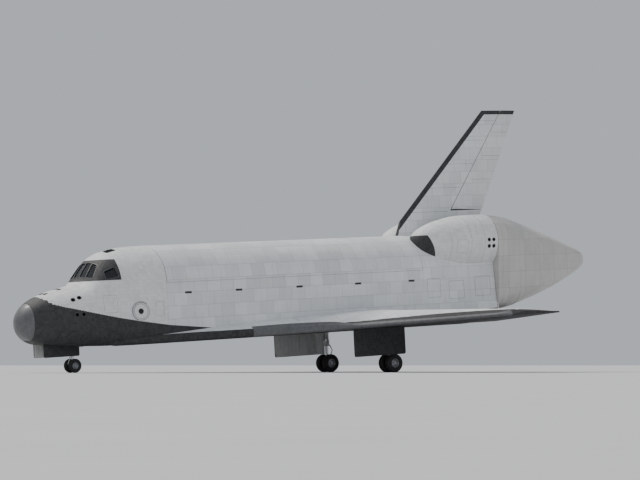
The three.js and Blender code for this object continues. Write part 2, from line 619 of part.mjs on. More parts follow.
// Rudder: a hinge cone with a centre blade, and the two speed brake panels beside it. The lower end
// rises towards the skins, because the hinge line leans aft
const SPINE_FACTOR = 0.6;
const BLADE_HALF = 0.8;
const BASE_RISE = 0.33;
const risenZ = RUDDER_BASE_Z + BASE_RISE * FAR_SIDE;
const rudderBody = finSolid(0).intersect(prism('x', [
  [0, RUDDER_BASE_Z], [FAR_SIDE, risenZ], [FAR_SIDE, FAR_HIGH_Z], [-FAR_SIDE, FAR_HIGH_Z],
  [-FAR_SIDE, risenZ],
], FAR_FRONT_X, FAR_AFT_X));
addPiece('rudder_spine', hingeCone(SPINE_FACTOR, 0)
  .add(behindHinge.intersect(finSlab(BLADE_HALF, CONE_BASE_Z)))
  .intersect(rudderBody), 'whiteBlanket');
const panelRight = rudderBody
  .intersect(behindHinge)
  .intersect(hingeCone(PANEL_NOSE_FACTOR, 0).add(aftOfHinge))
  .subtract(hingeCone(SPINE_FACTOR, MOVING_GAP))
  .intersect(column(FAR_FRONT_X, FAR_AFT_X, BLADE_HALF + MOVING_GAP, FAR_SIDE));
addPiece('rudder_panel_right', panelRight, 'whiteBlanket');
addPiece('rudder_panel_left', mirrored(panelRight), 'whiteBlanket');

// Aft body: hollow towards the tail cone, with the two umbilical wells in its belly
const UMBILICAL = { x0: 1312, x1: 1362, y0: 50, y1: 100, depthZ: 300, doorThick: 3 };
const AFT_FRONT_WALL = 15;
const UMBILICAL_BED = { x0: 1318, x1: 1374, topZ: 304 };
const aftInside = bodySolid(BODY_SECTIONS, AFT_WALL).intersect(slab(BAY_AFT_X + AFT_FRONT_WALL, FAR_AFT_X));
const aftFloorBlock = box(UMBILICAL_BED.x0, UMBILICAL_BED.x1, -FAR_Y, FAR_Y, FAR_LOW_Z, UMBILICAL_BED.topZ);
let aftFuselage = outerBody.intersect(slab(BAY_AFT_X, BODY_AFT_X))
  .subtract(aftInside.subtract(aftFloorBlock));
for (const side of [-1, 1]) {
  aftFuselage = aftFuselage.subtract(box(
    UMBILICAL.x0, UMBILICAL.x1, ...sided(side, UMBILICAL.y0, UMBILICAL.y1), FAR_LOW_Z, UMBILICAL.depthZ,
  ));
}
addPiece('aft_fuselage', aftFuselage, 'whiteBlanket');

// Umbilical doors and the attach fittings
const umbilicalDoor = box(
  UMBILICAL.x0 + MOVING_GAP, UMBILICAL.x1 - MOVING_GAP,
  UMBILICAL.y0 + MOVING_GAP, UMBILICAL.y1 - MOVING_GAP,
  BELLY_Z, BELLY_Z + UMBILICAL.doorThick,
);
addPiece('umbilical_door_right', umbilicalDoor, 'blackTile');
addPiece('umbilical_door_left', mirrored(umbilicalDoor), 'blackTile');
const AFT_FITTING = { x0: 1318, x1: 1332, y0: 85, y1: 99, bottomZ: 282 };
const aftFitting = box(
  AFT_FITTING.x0, AFT_FITTING.x1, AFT_FITTING.y0, AFT_FITTING.y1,
  AFT_FITTING.bottomZ, UMBILICAL.depthZ - JOINT_GAP,
);
addPiece('attach_fitting_aft_right', aftFitting, 'gearSteel');
addPiece('attach_fitting_aft_left', mirrored(aftFitting), 'gearSteel');
const FORWARD_FITTING = { x: 401, radius: 6, bottomZ: 277, topZ: 287 };
addPiece('attach_fitting_forward', bar(
  [FORWARD_FITTING.x, 0, FORWARD_FITTING.bottomZ], [FORWARD_FITTING.x, 0, FORWARD_FITTING.topZ],
  FORWARD_FITTING.radius,
).subtract(outerBodyWithGap), 'gearSteel');

// Engine pods beside the fin
const POD_SIDES = 20;
const podSolid = loft(POD_SECTIONS.map((section) => Array.from({ length: POD_SIDES }, (_, index) => {
  const angle = (index / POD_SIDES) * Math.PI * 2;
  return new THREE.Vector3(
    section.x,
    section.y + section.wide * Math.cos(angle),
    section.z + section.high * Math.sin(angle),
  );
})));
const podRight = podSolid.subtract(outerBodyWithGap).subtract(finSolid(JOINT_GAP));
addPiece('engine_pod_right', podRight, 'whiteBlanket');
addPiece('engine_pod_left', mirrored(podRight), 'whiteBlanket');

// Main engines as one plain block, and the tail cone over them. A plate at its front closes it all
// round the aft body
const ENGINES = { x0: 1440, x1: 1640, y: 68, z0: 340, z1: 462 };
const CLOSURE_X = [BODY_AFT_X + 1, BODY_AFT_X + 4.5];
const CONE_SOLID_END = 60;
addPiece('main_engine_block', box(
  ENGINES.x0, ENGINES.x1, -ENGINES.y, ENGINES.y, ENGINES.z0, ENGINES.z1,
), 'engineSteel');
const aftOutline = (wall) => bodyRing(BODY_SECTIONS.at(-1), wall).map((point) => [point.y, point.z]);
const coneClosure = bodySolid(TAIL_CONE_SECTIONS)
  .intersect(slab(...CLOSURE_X))
  .add(prism('x', aftOutline(0), ...CLOSURE_X))
  .subtract(prism('x', aftOutline(AFT_WALL), CLOSURE_X[0] - 1, CLOSURE_X[1] + 1));
const coneInside = bodySolid(TAIL_CONE_SECTIONS, TAIL_CONE_WALL)
  .intersect(slab(FAR_FRONT_X, TAIL_CONE_END_X - CONE_SOLID_END));
addPiece('tail_cone', bodySolid(TAIL_CONE_SECTIONS).subtract(coneInside).add(coneClosure), 'fairing');

// Wings, their carbon leading edges and the elevons
const wingSolid = loft(WING_SECTIONS.map(wingRing));
function edgeRegion(gap) {
  const edge = PANEL_EDGE.map((point) => [...point]);
  edge[0][0] -= gap;
  edge.at(-1)[0] += gap;
  edge.at(-1)[1] += gap;
  return prism('z', [
    ...offsetPolyline(edge, -PANEL_REACH),
    ...offsetPolyline(edge, PANEL_DEPTH + gap).reverse(),
  ], FAR_LOW_Z, FAR_HIGH_Z);
}
const MAIN_WELL = { x0: 1040, x1: 1192, y0: 109, y1: 171, z: 317 };

// Room for an elevon's nose and ends, and for its skins as they turn past the wing's two lips,
// whose places are shares of the hinge radius
const NOSE_ROOM = 0.75;
const END_ROOM = 1;
const TOP_LIP = 0.5;
const BASE_LIP = 0.42;
const LIP_DEPTH = 0.5;
const NOSE_SIDES = 20;
function elevonRoom(y0, y1) {
  const ends = [elevonHinge(y0), elevonHinge(y1)];
  ends[0].point[1] -= END_ROOM;
  ends[1].point[1] += END_ROOM;
  const cove = bar(
    ends[0].point, ends[1].point, ends[0].radius + NOSE_ROOM, ends[1].radius + NOSE_ROOM, NOSE_SIDES,
  );
  const behind = loft(ends.map(({ point: [x, y, z], radius }) => [
    [x, z],
    [x - radius * TOP_LIP, z + radius * LIP_DEPTH],
    [x - radius * TOP_LIP, FAR_HIGH_Z],
    [ELEVON_AFT_X, FAR_HIGH_Z],
    [ELEVON_AFT_X, FAR_LOW_Z],
    [x - radius * BASE_LIP, FAR_LOW_Z],
    [x - radius * BASE_LIP, z - radius * LIP_DEPTH],
  ].map(([cornerX, cornerZ]) => new THREE.Vector3(cornerX, y, cornerZ))));
  return cove.add(behind);
}

let wing = wingSolid
  .subtract(outerBodyWithGap)
  .subtract(edgeRegion(JOINT_GAP))
  .subtract(box(MAIN_WELL.x0, MAIN_WELL.x1, MAIN_WELL.y0, MAIN_WELL.y1, FAR_LOW_Z, MAIN_WELL.z))
  .subtract(column(ELEVON_HINGE_X, ELEVON_AFT_X, 0, ELEVON_SPANS[0][1]));
for (const [name, y0, y1] of ELEVON_SPANS) {
  const inner = elevonHinge(y0);
  const outer = elevonHinge(y1);
  wing = wing.subtract(elevonRoom(y0, y1));
  const nose = bar(inner.point, outer.point, inner.radius - 0.05, outer.radius - 0.05, NOSE_SIDES);
  const elevon = wingSolid.intersect(column(ELEVON_HINGE_X, ELEVON_AFT_X, y0, y1))
    .add(nose)
    .intersect(column(FAR_FRONT_X, ELEVON_AFT_X, y0 + 0.05, y1 - 0.05));
  addPiece(`elevon_${name}_right`, elevon, 'whiteBlanket');
  addPiece(`elevon_${name}_left`, mirrored(elevon), 'whiteBlanket');
}
addPiece('wing_right', wing, 'whiteBlanket');
addPiece('wing_left', mirrored(wing), 'whiteBlanket');
const leadingEdge = wingSolid
  .intersect(edgeRegion(0))
  .subtract(outerBodyWithGap);
addPiece('leading_edge_right', leadingEdge, 'carbon');
addPiece('leading_edge_left', mirrored(leadingEdge), 'carbon');

// Body flap under the tail cone
const FLAP_NOSE_RADIUS = 10;
const FLAP_EDGE_DROP = [3, 1];
const FLAP_NOSE_SIDES = 20;
const flapOutline = [
  [FLAP_HINGE_X, FLAP_HINGE_Z - FLAP_NOSE_RADIUS],
  [FLAP_END_X, FLAP_HINGE_Z - FLAP_EDGE_DROP[0]],
  [FLAP_END_X, FLAP_HINGE_Z - FLAP_EDGE_DROP[1]],
  [FLAP_HINGE_X, FLAP_HINGE_Z + FLAP_NOSE_RADIUS],
];
addPiece('body_flap', prism('y', flapOutline, -FLAP_HALF_WIDTH, FLAP_HALF_WIDTH)
  .add(bar(
    [FLAP_HINGE_X, -FLAP_HALF_WIDTH, FLAP_HINGE_Z], [FLAP_HINGE_X, FLAP_HALF_WIDTH, FLAP_HINGE_Z],
    FLAP_NOSE_RADIUS, FLAP_NOSE_RADIUS, FLAP_NOSE_SIDES,
  )), 'blackTile');

// Main gear: leg with drag brace, hubs on their axle, two tyres and the door of each side
const tyreProfile = (radius, width, bore) => [
  [bore, -width * 0.36], [radius * 0.72, -width * 0.5], [radius * 0.93, -width * 0.42],
  [radius, -width * 0.2], [radius, width * 0.2], [radius * 0.93, width * 0.42],
  [radius * 0.72, width * 0.5], [bore, width * 0.36], [bore, -width * 0.36],
];
const hubProfile = (radius, width) => [
  [0, -width * 0.3], [radius * 0.5, -width * 0.3], [radius, -width * 0.36],
  [radius, width * 0.36], [radius * 0.5, width * 0.3], [0, width * 0.3],
];

function addWheels(names, x, y, radius, width, offset, hubRadius, axleRadius) {
  const z = wheelCentreZ(x, radius);
  const outer = hubRadius - JOINT_GAP;
  const hubs = [-offset, offset].map((side) => wheelSolid(hubProfile(outer, width), x, y + side, z));
  const axle = bar([x, y - offset, z], [x, y + offset, z], axleRadius);
  addPiece(names.hubs, hubs[0].add(hubs[1]).add(axle), 'gearSteel');
  [-offset, offset].forEach((side, index) => {
    addPiece(names.tyres[index], wheelSolid(tyreProfile(radius, width, hubRadius), x, y + side, z), 'tyre');
  });
}

// Radii of the legs' round parts, and their heights
const MAIN_LEG = {
  cylinder: 6.5, cylinderEndZ: 238, piston: 4.2, lug: 5, lugHalf: 4, trunnion: 4, trunnionZ: 303,
  brace: 3, braceX: 1090, braceEndZ: 250, linkX: [3, 12], linkHalf: 3, linkTopZ: 246,
  hub: 10.5, axle: 2.4, axleBore: 2.9,
};
const BRACE_SIDES = 12;
function mainLeg() {
  const [x, y] = [MAIN_GEAR_X, MAIN_GEAR_Y];
  const leg = MAIN_LEG;
  const axleZ = wheelCentreZ(x, MAIN_TYRE_RADIUS);
  const topZ = MAIN_WELL.z - JOINT_GAP;
  const across = (half, z, radius) => bar([x, y - half, z], [x, y + half, z], radius);
  return bar([x, y, topZ], [x, y, leg.cylinderEndZ], leg.cylinder)
    .add(bar([x, y, leg.cylinderEndZ + 2], [x, y, axleZ + 2], leg.piston))
    .add(across(leg.lugHalf, axleZ, leg.lug))
    .add(bar([x, MAIN_WELL.y0 + 1, leg.trunnionZ], [x, MAIN_WELL.y1 - 1, leg.trunnionZ], leg.trunnion))
    .add(bar([leg.braceX, y, topZ - 4], [x - 2, y, leg.braceEndZ], leg.brace, leg.brace, BRACE_SIDES))
    .add(box(x + leg.linkX[0], x + leg.linkX[1], y - leg.linkHalf, y + leg.linkHalf, axleZ + 3, leg.linkTopZ))
    .subtract(across(2.5 * leg.lugHalf, axleZ, leg.axleBore));
}

const MAIN_DOOR = { start: 0.5, end: 4, bottomZ: 215 };
const mainDoor = box(
  MAIN_WELL.x0 + 1, MAIN_WELL.x1 - 1, MAIN_WELL.y1 + MAIN_DOOR.start, MAIN_WELL.y1 + MAIN_DOOR.end,
  MAIN_DOOR.bottomZ, wingBaseZ(MAIN_WELL.y1) - JOINT_GAP,
);
const mainLegRight = mainLeg();
addPiece('main_gear_leg_right', mainLegRight, 'gearWhite');
addPiece('main_gear_leg_left', mirrored(mainLegRight), 'gearWhite');
addPiece('main_gear_door_right', mainDoor, 'blackTile');
addPiece('main_gear_door_left', mirrored(mainDoor), 'blackTile');
for (const [side, sign] of [['left', -1], ['right', 1]]) {
  addWheels({
    hubs: `main_wheel_hubs_${side}`,
    tyres: sign > 0
      ? [`main_tyre_inner_${side}`, `main_tyre_outer_${side}`]
      : [`main_tyre_outer_${side}`, `main_tyre_inner_${side}`],
  }, MAIN_GEAR_X, sign * MAIN_GEAR_Y, MAIN_TYRE_RADIUS, MAIN_TYRE_WIDTH, MAIN_TYRE_OFFSET, MAIN_LEG.hub,
  MAIN_LEG.axle);
}

// Nose gear: fixed leg, steered piston, hubs on their axle, two tyres and two doors
const NOSE_LEG = {
  cylinder: 5, trunnion: 3.2, trunnionZ: 330, brace: 2.4, braceX: 312, braceEndZ: 276,
  piston: 3.2, collar: 5, collarDepth: 5, lug: 4, lugHalf: 3.2, linkX: [-9, -2], linkHalf: 2.4,
  hub: 7.5, axle: 1.8, axleBore: 2.3,
};
const STEERING_Z = 262;

function noseLeg() {
  const x = NOSE_GEAR_X;
  const leg = NOSE_LEG;
  return bar([x, 0, NOSE_WELL.z - JOINT_GAP], [x, 0, STEERING_Z], leg.cylinder)
    .add(bar([x, 1 - NOSE_WELL.y, leg.trunnionZ], [x, NOSE_WELL.y - 1, leg.trunnionZ], leg.trunnion))
    .add(bar(
      [leg.braceX, 0, NOSE_WELL.z - 4], [x - 2, 0, leg.braceEndZ], leg.brace, leg.brace, BRACE_SIDES,
    ));
}

function nosePiston() {
  const x = NOSE_GEAR_X;
  const leg = NOSE_LEG;
  const axleZ = wheelCentreZ(x, NOSE_TYRE_RADIUS);
  const topZ = STEERING_Z - MOVING_GAP;
  const collarZ = STEERING_Z - leg.collarDepth;
  const across = (half, radius) => bar([x, -half, axleZ], [x, half, axleZ], radius);
  return bar([x, 0, topZ], [x, 0, axleZ + 2], leg.piston)
    .add(bar([x, 0, topZ], [x, 0, collarZ], leg.collar))
    .add(across(leg.lugHalf, leg.lug))
    .add(box(x + leg.linkX[0], x + leg.linkX[1], -leg.linkHalf, leg.linkHalf, axleZ + 4, collarZ))
    .subtract(across(2.5 * leg.lugHalf, leg.axleBore));
}

addPiece('nose_gear_leg', noseLeg(), 'gearWhite');
addPiece('nose_gear_piston', nosePiston(), 'gearWhite');
addWheels(
  { hubs: 'nose_wheel_hubs', tyres: ['nose_tyre_left', 'nose_tyre_right'] },
  NOSE_GEAR_X, 0, NOSE_TYRE_RADIUS, NOSE_TYRE_WIDTH, NOSE_TYRE_OFFSET, NOSE_LEG.hub, NOSE_LEG.axle,
);
const NOSE_DOOR = { start: 0.5, end: 3, bottomZ: 258, topZ: 300, shorter: 6 };
const noseDoor = box(
  NOSE_WELL.x0 + 1, NOSE_WELL.x1 - NOSE_DOOR.shorter,
  NOSE_WELL.y + NOSE_DOOR.start, NOSE_WELL.y + NOSE_DOOR.end, NOSE_DOOR.bottomZ, NOSE_DOOR.topZ,
).subtract(outerBodyWithGap);
addPiece('nose_gear_door_right', noseDoor, 'blackTile');
addPiece('nose_gear_door_left', mirrored(noseDoor), 'blackTile');

// Half size in millimetres, pitched about the main wheels, centred over the ground
const scale = INCH * MODEL_SCALE;
const LENGTH_CENTRE_X = 1045.79;
vehicle.position.set(-LENGTH_CENTRE_X, 0, 0);
const pitched = new THREE.Group();
pitched.add(vehicle);
pitched.rotation.y = -PARKED_PITCH;
const orbiter = new THREE.Group();
orbiter.add(pitched);
orbiter.scale.setScalar(scale);
orbiter.position.z = -scale * groundZ(LENGTH_CENTRE_X) * Math.cos(PARKED_PITCH);

export default orbiter;
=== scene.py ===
import json
import math

import bmesh
import bpy
import numpy as np
from mathutils import Matrix, Vector

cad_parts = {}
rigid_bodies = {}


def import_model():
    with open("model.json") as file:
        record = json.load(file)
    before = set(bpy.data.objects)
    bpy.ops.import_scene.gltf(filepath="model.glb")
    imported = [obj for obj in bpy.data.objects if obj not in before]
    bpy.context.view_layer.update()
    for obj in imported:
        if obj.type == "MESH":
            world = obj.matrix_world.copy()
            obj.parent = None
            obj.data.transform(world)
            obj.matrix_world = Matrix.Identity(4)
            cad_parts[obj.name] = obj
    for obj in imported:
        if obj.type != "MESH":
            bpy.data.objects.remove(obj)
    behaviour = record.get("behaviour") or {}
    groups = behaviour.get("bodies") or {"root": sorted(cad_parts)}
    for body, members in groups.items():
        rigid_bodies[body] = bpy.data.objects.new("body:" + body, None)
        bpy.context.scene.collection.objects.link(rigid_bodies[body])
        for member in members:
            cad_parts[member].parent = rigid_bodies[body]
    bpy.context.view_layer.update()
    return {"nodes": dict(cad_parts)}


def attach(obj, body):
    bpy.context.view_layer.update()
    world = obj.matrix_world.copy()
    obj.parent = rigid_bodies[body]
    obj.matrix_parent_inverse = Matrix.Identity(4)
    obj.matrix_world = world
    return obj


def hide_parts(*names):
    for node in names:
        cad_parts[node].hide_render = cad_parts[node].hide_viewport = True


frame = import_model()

# Scale, attitude and place: lengths are inches of the full-size orbiter, X aft, Y to starboard, Z up
INCH = 0.0254 * 0.5
PITCH = math.radians(3.5)
MAIN_GEAR_X = 1172.0
MAIN_GROUND_Z = 171.0
LENGTH_CENTRE_X = 1045.79


def ground_z(x):
    return MAIN_GROUND_Z - (x - MAIN_GEAR_X) * math.tan(PITCH)


DATUM_Z = math.cos(PITCH) * ground_z(LENGTH_CENTRE_X)
TO_WORLD = (
    Matrix.Scale(INCH, 4)
    @ Matrix.Translation((0, 0, -DATUM_Z))
    @ Matrix.Rotation(-PITCH, 4, "Y")
    @ Matrix.Translation((-LENGTH_CENTRE_X, 0, 0))
)
SIDES = (-1, 1)

# Stations and main sizes
NOSE_TIP_X = 238.0
NOSE_CAP_X = 264.0
CABIN_AFT_X = 576.0
BAY_FRONT_X = 582.0
BAY_AFT_X = 1307.0
BODY_AFT_X = 1515.0
CONE_END_X = 1900.0
SILL_Z = 414.0
BELLY_Z = 276.0
BODY_HALF = 105.0
CABIN_WALL = 12.0
BAY_WALL = 10.0
DOOR_WALL = 5.0
AFT_WALL = 9.0
CONE_WALL = 6.0
GAP = 0.03
MOVING_GAP = 0.5

# Body sections: station, belly height, flat half-width, widest half-width and its height, shoulder
# half-width and its height, crown height
BODY_SECTIONS = np.array([
    (238, 337.6, 0.2, 0.6, 338, 0.5, 338.2, 338.8),
    (242, 320, 5, 19, 337, 18.5, 341, 356),
    (251, 308, 9, 33, 337, 32, 343, 370),
    (264, 299, 17, 45, 335, 44, 347, 382),
    (292, 289, 32, 60, 332, 57, 353, 397),
    (335, 283, 46, 74, 330, 69, 362, 410),
    (385, 279.5, 60, 86, 328, 78, 376, 421),
    (398, 279, 62, 88, 327, 80, 384, 428),
    (415, 278, 66, 91, 326, 82, 394, 453),
    (438, 277.5, 70, 94, 326, 85, 402, 480),
    (462, 277, 74, 97, 324, 88, 406, 492),
    (495, 276, 80, 100, 320, 93, 409, 499),
    (535, 276, 90, 103, 312, 99, 412, 502),
    (576, 276, 98, 105, 300, 104, 414, 503),
    (620, 276, 103, 105, 290, 105, 414, 503),
    (1307, 276, 103, 105, 290, 105, 414, 503),
    (1400, 276, 110, 115, 292, 110, 418, 504),
    (1515, 283, 120, 129, 306, 118, 430, 505),
], float)

# Tail cone sections, in the same columns and one more; a crown fullness over 2 squares the crown
CONE_SECTIONS = np.array([
    (1516, 306, 92, 136, 350, 146, 470, 549, 3.2),
    (1560, 310, 86, 134, 356, 142, 468, 546, 3.1),
    (1640, 326, 70, 118, 370, 121, 464, 529, 2.6),
    (1740, 352, 48, 89, 385, 88, 455, 500, 2.2),
    (1830, 382, 28, 56, 403, 54, 440, 469, 2),
    (1882, 404, 14, 31, 416, 30, 432, 447, 2),
    (1900, 424.5, 0.5, 1.5, 426, 1.4, 426.5, 428, 2),
], float)
CONE_FRONT_X = CONE_SECTIONS[0, 0]
CONE_SEAMS = (1550, 1612, 1674, 1736, 1798, 1860)
CLOSURE_X = (BODY_AFT_X + 1.0, BODY_AFT_X + 4.5)
CLOSURE_BLACK_Z = 305.5
LOW_Z = 100
HIGH_Z = 1000

# Wing sections: span station, leading edge, height behind the nose radius, station and height of
# the thickest point, trailing edge
WING_SECTIONS = np.array([
    (80, 430, 20, 1130, 46, 1507),
    (106, 524, 20, 1130, 46, 1507),
    (137, 705, 19, 1130, 46, 1501),
    (170, 905, 18, 1130, 44, 1495),
    (190, 982, 16, 1135, 42, 1492),
    (205, 1013, 15, 1140, 40, 1489),
    (235, 1045, 14, 1150, 37, 1484),
    (330, 1140, 11, 1215, 28, 1467),
    (430, 1240, 8, 1295, 18, 1449),
    (456, 1266, 7, 1315, 15, 1445),
    (468, 1290, 4, 1335, 8, 1432),
], float)
DIHEDRAL = math.radians(3.5)
WING_ROOM_Z = (200, 400)
ELEVON_HINGE_X = 1387.0
ELEVON_SPANS = (("inboard", "in", 134.0, 281.5), ("outboard", "out", 283.3, 452.0))
ELEVON_AFT_X = 1560.0
NOSE_ROOM = 0.75
END_ROOM = 1.0
TOP_LIP = 0.5
BASE_LIP = 0.42
LIP_DEPTH = 0.5
EDGE_START_Y = 148.5
TIP_Y = 468.0
TIP_CAP_Y = 468.9
EDGE_DEPTH = 14.0

# Engine pod sections: station, centre, half-width and half-height
POD_SECTIONS = np.array([
    (1308.5, 62, 480, 2, 2),
    (1320, 64, 480, 30, 29),
    (1345, 68, 480, 44, 44),
    (1385, 72, 480, 56, 57),
    (1440, 76, 480, 65, 66),
    (1515, 79, 480, 66, 68),
], float)

# Fin and rudder
FIN_ROOT_Z = 500.0
FIN_TIP_Z = 816.0
FIN_LEAD_X = (1280.0, 1596.0)
FIN_TRAIL_X = (1548.0, 1704.0)
FIN_HALF = (13.5, 5.5)
FIN_PROFILE = np.array([
    (0, 0.02), (0.03, 0.3), (0.15, 0.6), (0.35, 0.88), (0.58, 1), (0.75, 0.72), (1, 0.22),
])
FIN_FOOT_FRONT = ((BAY_AFT_X + 1.5, 503.0), (1320.0, 540.0))
RUDDER_BASE_Z = 562.0
RUDDER_HINGE_X = (1440.0, 1660.0)
RUDDER_FRONT_X = 1300.0
RUDDER_AFT_X = 1900.0
RUDDER_REACH = 60.0
PANEL_NOSE_FACTOR = 1.27
PANEL_LEAN = 0.93
SPINE_FACTOR = 0.6
BLADE_HALF = 0.8
BASE_RISE = 0.33
HINGE_LINE_Z = (RUDDER_BASE_Z - 60, FIN_TIP_Z + 40)

# Landing gear
MAIN_GEAR_Y = 136.0
MAIN_TYRE = {"radius": 22.25, "width": 16.0, "offset": 14.0, "hub": 10.5}
NOSE_GEAR_X = 378.0
NOSE_TYRE = {"radius": 16.0, "width": 8.8, "offset": 10.5, "hub": 7.5}
MAIN_WELL = {"x0": 1040.0, "x1": 1192.0, "y0": 109.0, "y1": 171.0, "z": 317.0}
NOSE_WELL = {"x0": 292.0, "x1": 390.0, "y": 22.0, "z": 352.0}
STEERING_Z = 262.0

# Openings and parts of the body
CABIN_FRONT_X = 398.0
RCS = {"x0": 296.0, "x1": 382.0, "y": 46.0, "z": 372.0, "corner": 4.0}
FRONT_PANES = (
    ((2.5, 437), (2.5, 468), (23, 467), (27, 435)),
    ((30.5, 435), (26.5, 466), (44, 462), (54, 433)),
)
SIDE_PANE = ((433, 428), (433, 446), (458, 455), (463, 434))
OVERHEAD = {"x0": 466.0, "x1": 488.0}
PANE_CORNER = 2.5
HATCH = {"x": 508.0, "z": 352.0, "radius": 20.0, "window": 5.0, "clearance": 0.9, "wall": 5.0}
DECK_Z = 416.0
UMBILICAL = {"x0": 1312.0, "x1": 1362.0, "z": 300.0, "door": 3.0}
FLAP_HINGE = (1532.0, 289.0)
VENT_X = (632, 770, 940, 1110, 1270)


# Finishes: every pattern is laid out in orbiter inches, in the mesh's own frame


def colour(value):
    """A grey or a colour as the four numbers that a socket takes; sockets pass through."""
    if isinstance(value, bpy.types.NodeSocket):
        return value
    return (*value, 1) if isinstance(value, tuple) else (value, value, value, 1)


class Finish:
    """Builds one procedural material."""

    def __init__(self, name, roughness=0.6, metallic=0.0, coat=0.0):
        self.material = bpy.data.materials.new(name)
        self.material.use_nodes = True
        self.tree = self.material.node_tree
        self.shader = self.tree.nodes["Principled BSDF"]
        self.shader.inputs["Roughness"].default_value = roughness
        self.shader.inputs["Metallic"].default_value = metallic
        self.shader.inputs["Coat Weight"].default_value = coat
        coordinates = self.tree.nodes.new("ShaderNodeTexCoord")
        self.place = self.node("Mapping", {
            "Vector": coordinates.outputs["Object"],
            "Scale": (1 / INCH,) * 3,
            "Rotation": (0, PITCH, 0),
            "Location": (LENGTH_CENTRE_X + DATUM_Z * math.sin(PITCH), 0, DATUM_Z * math.cos(PITCH)),
        })
        self.x, self.y, self.z = self.split(self.place)
        self.facing = self.split(coordinates.outputs["Normal"])

    def node(self, kind, values, output=0, **settings):
        made = self.tree.nodes.new("ShaderNode" + kind)
        for key, value in settings.items():
            setattr(made, key, value)
        for socket, value in values.items():
            if isinstance(value, bpy.types.NodeSocket):
                self.tree.links.new(value, made.inputs[socket])
            else:
                made.inputs[socket].default_value = value
        return made.outputs[output]

    def split(self, vector):
        return self.node("SeparateXYZ", {0: vector}).node.outputs[:3]

    def math(self, operation, a, b=0.0):
        return self.node("Math", {0: a, 1: b}, operation=operation)

    def below(self, a, b):
        return self.math("LESS_THAN", a, b)

    def above(self, a, b):
        return self.math("GREATER_THAN", a, b)

    def either(self, a, b):
        return self.math("MAXIMUM", a, b)

    def times(self, a, b):
        """Product, which is also 1 only where both masks are 1."""
        return self.math("MULTIPLY", a, b)

    def size(self, a):
        return self.math("ABSOLUTE", a)

    def stepped(self, value, size=6.0):
        return self.math("SNAP", value, size)

    def vector(self, x, y):
        return self.node("CombineXYZ", {0: x, 1: y})

    def mix(self, factor, a, b, blend="MIX"):
        inputs = {0: factor, 6: colour(a), 7: colour(b)}
        return self.node("Mix", inputs, 2, data_type="RGBA", blend_type=blend)

    def mix_vector(self, factor, a, b):
        return self.node("Mix", {0: factor, 4: a, 5: b}, 1, data_type="VECTOR")

    def noise(self, scale, stretch=(1, 1, 1), detail=4.0, rough=0.55):
        """Noise from 0 to 1 with features of about 1/scale inches."""
        stretched = self.node("VectorMath", {0: self.place, 1: stretch}, operation="MULTIPLY")
        inputs = {"Vector": stretched, "Scale": scale, "Detail": detail, "Roughness": rough}
        return self.node("TexNoise", inputs)

    def spread(self, value, low, high, to_low=0.0, to_high=1.0):
        return self.node("MapRange", {0: value, 1: low, 2: high, 3: to_low, 4: to_high})

    def surface_place(self):
        """(x, z) on the sides, (x, y) on top and below, (y, z) at the ends."""
        nx, ny, nz = (self.size(n) for n in self.facing)
        upright = self.above(nz, self.either(nx, ny))
        ended = self.above(nx, self.either(ny, nz))
        across = self.mix_vector(upright, self.vector(self.x, self.z), self.vector(self.x, self.y))
        return self.mix_vector(ended, across, self.vector(self.y, self.z))

    def panels(self, place, width, height, seam, tones, seam_tone, offset=0.5):
        """Rows of panels: their colour, and 1 in the seams between them."""
        made = self.node("TexBrick", {
            "Vector": place, "Color1": colour(tones[0]), "Color2": colour(tones[1]),
            "Mortar": colour(seam_tone),
            "Scale": 1.0, "Mortar Size": seam, "Mortar Smooth": 0.2, "Bias": 0.0,
            "Brick Width": width, "Row Height": height,
        }, offset=offset)
        return made, made.node.outputs[1]

    def curve(self, value, start, end, points, low, high):
        """Height read from a line through points (value, height)."""
        ramp = self.node("ValToRGB", {0: self.spread(value, start, end)})
        stops = ramp.node.color_ramp.elements
        for index, (at, height) in enumerate(points):
            position = (at - start) / (end - start)
            stop = stops[index] if index < 2 else stops.new(position)
            stop.position = position
            stop.color = colour((height - low) / (high - low))
        return self.spread(ramp, 0, 1, low, high)

    def bump(self, height, depth, after=None):
        """Surface relief; depth in inches."""
        values = {"Height": height, "Distance": depth * INCH, "Strength": 1.0}
        if after:
            values["Normal"] = after
        return self.node("Bump", values)

    def finish(self, base, normal=None, roughness=None):
        for socket, value in (("Base Color", base), ("Normal", normal), ("Roughness", roughness)):
            if value:
                self.tree.links.new(value, self.shader.inputs[socket])
        return self.material


def blanket(f, place):
    """Quilted white blankets: colour and relief."""
    base, seam = f.panels(place, 36, 30, 0.28, ((0.80, 0.81, 0.82), (0.68, 0.69, 0.70)), (0.42, 0.42, 0.43))
    quilt = f.panels(place, 1.3, 1.3, 0.12, (1.0, 1.0), 0.0, 0.0)[0]
    return base, f.math("SUBTRACT", f.times(quilt, 0.2), seam)


def white_tile(f, place):
    base, seam = f.panels(place, 8, 8, 0.08, ((0.80, 0.80, 0.80), (0.71, 0.715, 0.72)), 0.50)
    return base, f.times(seam, -1)


def black_tile(f, place):
    tones = ((0.012, 0.012, 0.013), (0.034, 0.034, 0.036))
    base, seam = f.panels(place, 6, 6, 0.07, tones, (0.075, 0.075, 0.072))
    return base, f.times(seam, -1)


def weathered(f, base, amount=0.25):
    """Soft stains, and streaks that run down the sides and aft."""
    stain = f.spread(f.noise(0.02, detail=6), 0.35, 0.75)
    streak = f.spread(f.noise(0.16, (1, 1, 0.08), 5, 0.6), 0.45, 0.8)
    smear = f.spread(f.noise(0.12, (0.07, 1, 1), 5, 0.6), 0.5, 0.85)
    dirt = f.times(f.math("ADD", f.math("ADD", stain, streak), smear), amount / 2.2)
    return f.mix(dirt, base, (0.30, 0.285, 0.265))


